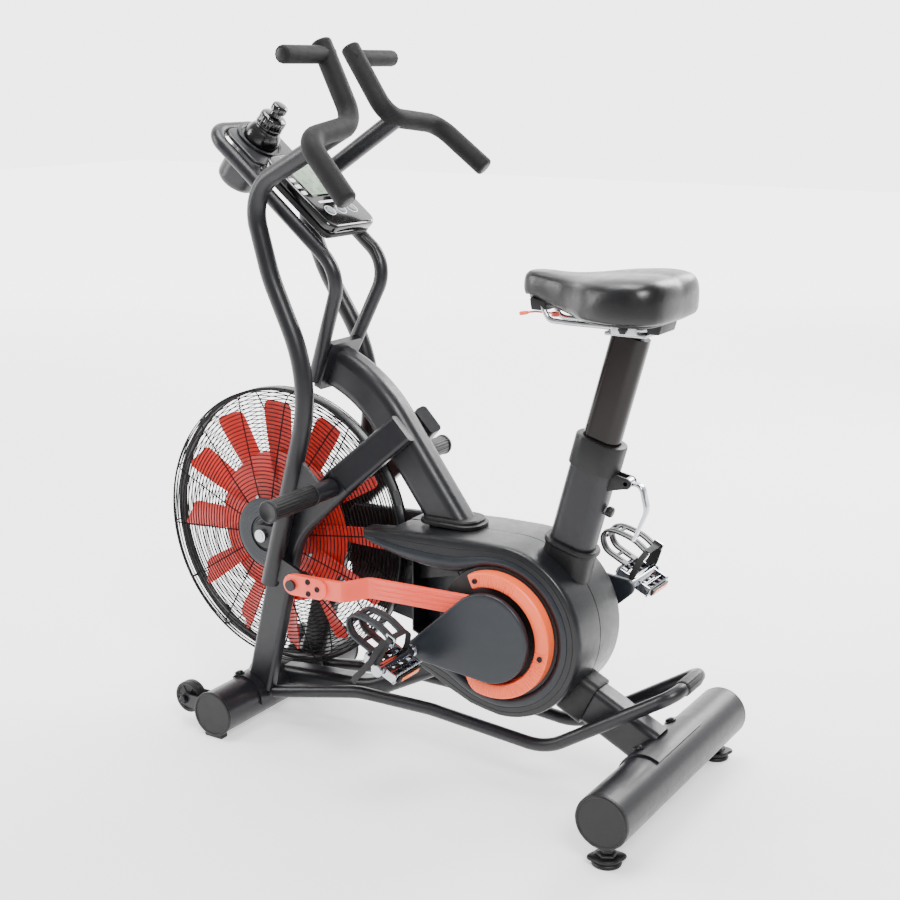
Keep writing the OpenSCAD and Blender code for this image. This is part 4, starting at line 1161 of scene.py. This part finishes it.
def along_seat(g, levels, mat=0):
    """Skins rounded oblongs along the seat tube: levels are (length, width, corner, distance)."""
    g.rings([[seat_axis(x, y, z) for x, y in box_section(w, t, r, 10)] for w, t, r, z in levels], mat)


g = Shape()
along_seat(g, [(71, 44, 20, -60), (71, 44, 20, 200), (70, 43, 19.5, 211)])
g.obj("post_tube", "post", "post", "chrome", ["seat_post"], sharp=40)

g = Shape()
along_seat(g, [(88, 59, 27, -318), (88, 59, 27, -2), (74, 47, 21, -2), (74, 47, 21, -316)])
g.obj("tube_skin", "frame", "frame", "frame_paint", ["seat_tube"], sharp=40)

g = Shape()
along_seat(g, [(96, 67, 30, -300), (98, 69, 31, -298), (98, 69, 31, -208), (104, 75, 33, -206),
               (106, 77, 34, -203), (106, 77, 34, -199),
               (103, 74, 33, -196), (89, 60, 27.5, -196)])
along_seat(g, [(89, 60, 27.5, -46), (95, 66, 29, -45), (96, 67, 30, -43), (96, 67, 30, 8), (94, 65, 29, 11),
               (90, 61, 27, 12), (72.4, 45.4, 20.4, 12),
               (72.4, 45.4, 20.4, -1), (76, 49, 21, -1)])
put = lambda x, y, z: B(-457 + x, y, 473 + z)
for w, t, r, levels in ((132, 84, 34, ((0, 0), (0, 6), (2.5, 8))),
                        (120, 75, 30, ((0, 8), (0, 12.5), (2.5, 15)))):
    g.rings([[put(x, y, z) for x, y in box_section(w - 2 * d, t - 2 * d, r - d, 10)] for d, z in levels])
way = (B(-290, 0, 241) - B(-25, 0, 112)).normalized()
side = way.cross(LEFT).normalized()
ring_at = lambda w, t, r, u: [B(-25, 0, 112) + way * (138 + u) * MM + (side * x + LEFT * y) * MM for x,
                              y in box_section(w, t, r, 6)]
g.rings([ring_at(*v) for v in ((84, 61, 16, 0), (88, 65, 17.5, 0.5), (90, 67, 18, 2.5), (90, 67, 18, 52.5),
                               (88, 65, 17.5, 54.5), (84, 61, 16, 55))])
for y in (-14, 9):
    ear = arc(LEVER_AT, 10, -100, 80, 10) + [(-124, 622), (-128, 588)]
    g.prism(ear, y, y + 5, 0, 0.001)
g.turned([(0.004, 0), (0.004, 0.028)], B(LEVER_AT[0], -14, LEVER_AT[1]), (0, 1, 0), 1, 20)
g.obj("collars", ["trim", "steel"], "frame", "trim_plastic", ["frame_collars"], sharp=40)

g = Shape()
out = seat_axis(1, 0, 0) - seat_axis(0, 0, 0)
knob = [(0.005, 0.0372), (0.005, 0.048), (0.0075, 0.0482), (0.0095, 0.0490), (0.0102, 0.052),
        (0.0098, 0.0565), (0.0085, 0.0588), (0.006, 0.0595),
        (0.0, 0.0596)]
g.turned(knob, seat_axis(0, 0, KNOB_Z), out, 0, 40)
g.turned([(0.0052, 0.0442), (0.0090, 0.0444), (0.0090, 0.0475), (0.0052, 0.0477)], seat_axis(0, 0, KNOB_Z),
         out, 1, 6)
g.obj("pull_knob_head", ["trim", "steel"], "pull_knob", "trim_plastic", ["pull_knob"], sharp=45)

g = Shape()
lever = smooth_path([B(LEVER_AT[0], 0, LEVER_AT[1]), B(-66, 0, 604), B(-55, 0, 560), B(-80, 0, 500)],
                    [0.014, 0.03], 0.003)
sizes = [1.0 + 0.25 * math.sin(math.pi * i / (len(lever) - 1)) for i in range(len(lever))]
sizes[-1] = 0.75
g.sweep(lever, box_section(0.014, 0.0062, 0.0028, 5), normal=(0, 1, 0), scale=sizes)
g.turned([(0.0088, -0.0085), (0.0095, -0.008), (0.0095, 0.008), (0.0088, 0.0085)],
         B(LEVER_AT[0], 0, LEVER_AT[1]), (0, 1, 0), 0, 32)
g.obj("quick_lever_bar", ["chrome", "trim"], "quick_lever", "chrome", ["quick_lever"], sharp=45)

# Console

CON = B(-690, 0, 1015)
BUTTON_X = 45
BUTTON_GAP = 35
CUP_X = 273
TIP = math.radians(39)
CON_X = Vector((-math.cos(TIP), 0, math.sin(TIP)))
CON_Z = Vector((math.sin(TIP), 0, math.cos(TIP)))
CON_Y = CON_Z.cross(CON_X)


def on_console(x, y, z):
    """A place in the console's own frame: x up its slope, z out of its face."""
    return CON + CON_X * (x * MM) + CON_Y * (y * MM) + CON_Z * (z * MM)


def con_prism(g, outline, z0, z1, mat=0, edge=0.002, steps=4):
    g.prism(outline, z0, z1, mat, edge, place=lambda x, y, z: on_console(x, y, z), steps=steps)


def rect(x0, y0, x1, y1, r, n=6):
    return rounded_outline([(x0, y0), (x1, y0), (x1, y1), (x0, y1)], r, n)


g = Shape()
con_prism(g, rect(1, -75, 204, 75, 24), -11.9, -1.5, 1, 0.003)
con_prism(g, rect(0, -75.5, 204.5, 75.5, 24), -0.5, 18.0, 0, 0.006, 6)
con_prism(g, rect(82, -54, 186, 54, 5), 17.0, 18.8, 0, 0.0008)
g.obj("console_case", ["gloss", "trim"], "frame", "console_gloss", ["console_body"], sharp=45)
g = Shape()
con_prism(g, rect(88.5, -47.5, 179.5, 47.5, 2), 16.6, 19.2, 0, 0.0003)
for x in (100, 124, 148, 168):
    for y in (-34, -12, 12, 34):
        for dx in (0, 4.6, -4.6):
            con_prism(g, rect(x + dx - 0.6, y - 4, x + dx + 0.6, y + 4, 0.3, 1), 19.0, 19.35, 1, 0.00005, 1)
g.obj("console_display", ["lcd", "segment"], "frame", "console_window", ["console_lens"], sharp=45)
g = Shape()
for y, w in ((-62, 15), (62, 15)):
    for k in range(5):
        con_prism(g, rect(92 + k * 18, y - w / 2, 102 + k * 18, y + w / 2, 2.5, 3), 17.6, 18.3, 0, 0.0001, 1)
con_prism(g, rect(66, -46, 72, 46, 3, 3), 17.6, 18.3, 0, 0.0001, 1)
con_prism(g, rect(190, -36, 196, 36, 3, 3), 17.6, 18.3, 0, 0.0001, 1)
for y in (-BUTTON_GAP, 0, BUTTON_GAP):
    ring = [(0.0112, 0), (0.0128, 0), (0.0128, 0.0004), (0.0112, 0.0004)]
    g.lathe(ring, on_console(BUTTON_X, y, 17.9), CON_Z, seg=40)
g.obj("console_marks", "white_print", "frame", "console_gloss", sharp=45)
for name, i in (("left", 1), ("middle", 0), ("right", -1)):
    g = Shape()
    g.turned([(0.0090, 0), (0.0090, 0.0060), (0.0085, 0.0078), (0.0070, 0.0085), (0.0050, 0.0081),
              (0, 0.0079)], on_console(BUTTON_X, i * BUTTON_GAP, 12), CON_Z, 0, 32)
    g.obj(f"button_cap_{name}", "grey", f"button_{name}", "button_grey", [f"button_{name}"], sharp=60)

g = Shape()
con_prism(g, rect(205, -70, 314, 70, 26), -16, -8, 0, 0.003)
con_prism(g, rect(8, -64, 212, 64, 14), -20, -12, 0, 0.003)
cup_at = on_console(CUP_X, 0, 0)
g.turned([(0.030, -0.112), (0.037, -0.1115), (0.0405, -0.108), (0.0425, -0.100), (0.0445, -0.020),
          (0.0455, -0.012), (0.0490, -0.009),
          (0.0500, -0.0060), (0.0490, -0.0035), (0.0440, -0.0030), (0.0405, -0.0060), (0.0395, -0.030),
          (0.0385, -0.1075), (0.0, -0.1080)],
         cup_at, CON_Z, 0, 72)
g.obj("cup_tray", "cup", "frame", "case_plastic", ["console_tray"], sharp=45)

g = Shape()
body = [(0.0, 0.0), (0.031, 0.0), (0.0345, 0.003), (0.0355, 0.010), (0.0355, 0.045), (0.0335, 0.052),
        (0.0325, 0.060), (0.0335, 0.068), (0.0355, 0.075),
        (0.0358, 0.104), (0.0350, 0.114), (0.0325, 0.122), (0.0290, 0.128), (0.0265, 0.131),
        (0.0262, 0.1345), (0.0275, 0.1365), (0.0275, 0.140),
        (0.0262, 0.142)]
g.turned(body, on_console(CUP_X, 0, -107.5), CON_Z, 0, 64)
cap = []
for i in range(96):
    a = 2 * math.pi * i / 96
    cap.append((math.cos(a), math.sin(a), 1 - 0.045 * (0.5 + 0.5 * math.cos(24 * a))))
u, v, w = frame_of(CON_Z)
rings = []
for r, h, ribbed in ((0.0255, 0.1405, 0), (0.0270, 0.1412, 1), (0.0272, 0.1560, 1), (0.0258, 0.1590, 1),
                     (0.0225, 0.1610, 0), (0.0180, 0.1625, 0), (0.0125, 0.1632, 0),
                     (0.0118, 0.1650, 0), (0.0112, 0.1720, 0), (0.0128, 0.1724, 0), (0.0158, 0.1735, 0),
                     (0.0164, 0.1755, 0), (0.0162, 0.1830, 0),
                     (0.0150, 0.1855, 0), (0.0125, 0.1870, 0), (0.0080, 0.1878, 0)):
    rings.append([on_console(CUP_X, 0, -107.5) + (u * c + v * d) * r * (k if ribbed else 1) + w * h for c,
                  d, k in cap])
g.rings(rings, 1)
g.obj("bottle_body", ["bottle", "gloss"], "bottle", "bottle_plastic", ["bottle"], sharp=50)


# Camera, light and floor

CAM_AT = Vector((1.5453, -2.3254, 1.3231))
CAM_AZ = math.radians(32.156)
CAM_DOWN = math.radians(14.468)
ahead = Vector((-math.sin(CAM_AZ) * math.cos(CAM_DOWN), math.cos(CAM_AZ) * math.cos(CAM_DOWN),
                -math.sin(CAM_DOWN)))
cam = bpy.data.objects.new("camera", bpy.data.cameras.new("camera"))
scene.collection.objects.link(cam)
cam.location = CAM_AT
cam.rotation_euler = ahead.to_track_quat("-Z", "Y").to_euler()
cam.data.lens = 59.6
cam.data.sensor_width = 36
scene.camera = cam


def area_light(name, at, aim, size, power, size_y=None):
    light = bpy.data.lights.new(name, "AREA")
    light.energy = power
    light.size = size
    if size_y:
        light.shape = "RECTANGLE"
        light.size_y = size_y
    o = bpy.data.objects.new(name, light)
    scene.collection.objects.link(o)
    o.location = at
    o.rotation_euler = (Vector(aim) - Vector(at)).to_track_quat("-Z", "Y").to_euler()


area_light("key", (2.6, -2.2, 3.4), (0, 0, 0.6), 1.4, 190)
area_light("side", (-3.2, -1.8, 2.0), (0, 0, 0.6), 0.9, 110, 2.4)
area_light("back", (0.8, 3.2, 2.6), (0, 0, 0.7), 1.6, 150)
area_light("top", (-0.3, 0.0, 3.8), (0, 0, 0), 1.8, 150)

world = bpy.data.worlds.new("studio")
scene.world = world
world.use_nodes = True
tree = world.node_tree
sky = tree.nodes["Background"]
way = tree.nodes.new("ShaderNodeTexCoord")
dot = tree.nodes.new("ShaderNodeVectorMath")
dot.operation = "DOT_PRODUCT"
dot.inputs[1].default_value = (0.532, -0.847, 0)
shade = tree.nodes.new("ShaderNodeMapRange")
for i, v in enumerate((0, -0.92, -0.25, 4.2, 0.5)):
    shade.inputs[i].default_value = v
tree.links.new(way.outputs["Generated"], dot.inputs[0])
tree.links.new(dot.outputs["Value"], shade.inputs[0])
tree.links.new(shade.outputs[0], sky.inputs[1])
sky.inputs[0].default_value = (1, 1, 1, 1)

floor_mesh = bpy.data.meshes.new("floor")
floor_mesh.from_pydata([(-14, -14, 0), (14, -14, 0), (14, 14, 0), (-14, 14, 0)], [], [(0, 1, 2, 3)])
floor = bpy.data.objects.new("floor", floor_mesh)
scene.collection.objects.link(floor)
# The floor glows, more strongly away from the camera: painted light that whitens the far floor.
floor_nodes = Nodes("floor_glow")
glow_reach = floor_nodes.add("ShaderNodeVectorMath")
glow_reach.operation = "DOT_PRODUCT"
glow_reach.inputs[1].default_value = (0.532, -0.847, 0)
floor_nodes.put(glow_reach.inputs[0], floor_nodes.coord)
floor_nodes.set(Base_Color=floor_nodes.mix(floor_nodes.noise(3), srgb(244, 244, 244), srgb(250, 250, 250)),
                Roughness=0.7)
floor_nodes.set(Emission_Color=(1, 1, 1, 1),
                Emission_Strength=floor_nodes.map(glow_reach.outputs["Value"], 1.3, -6.0, 0.0, 3.4))
floor_mesh.materials.append(floor_nodes.mat)
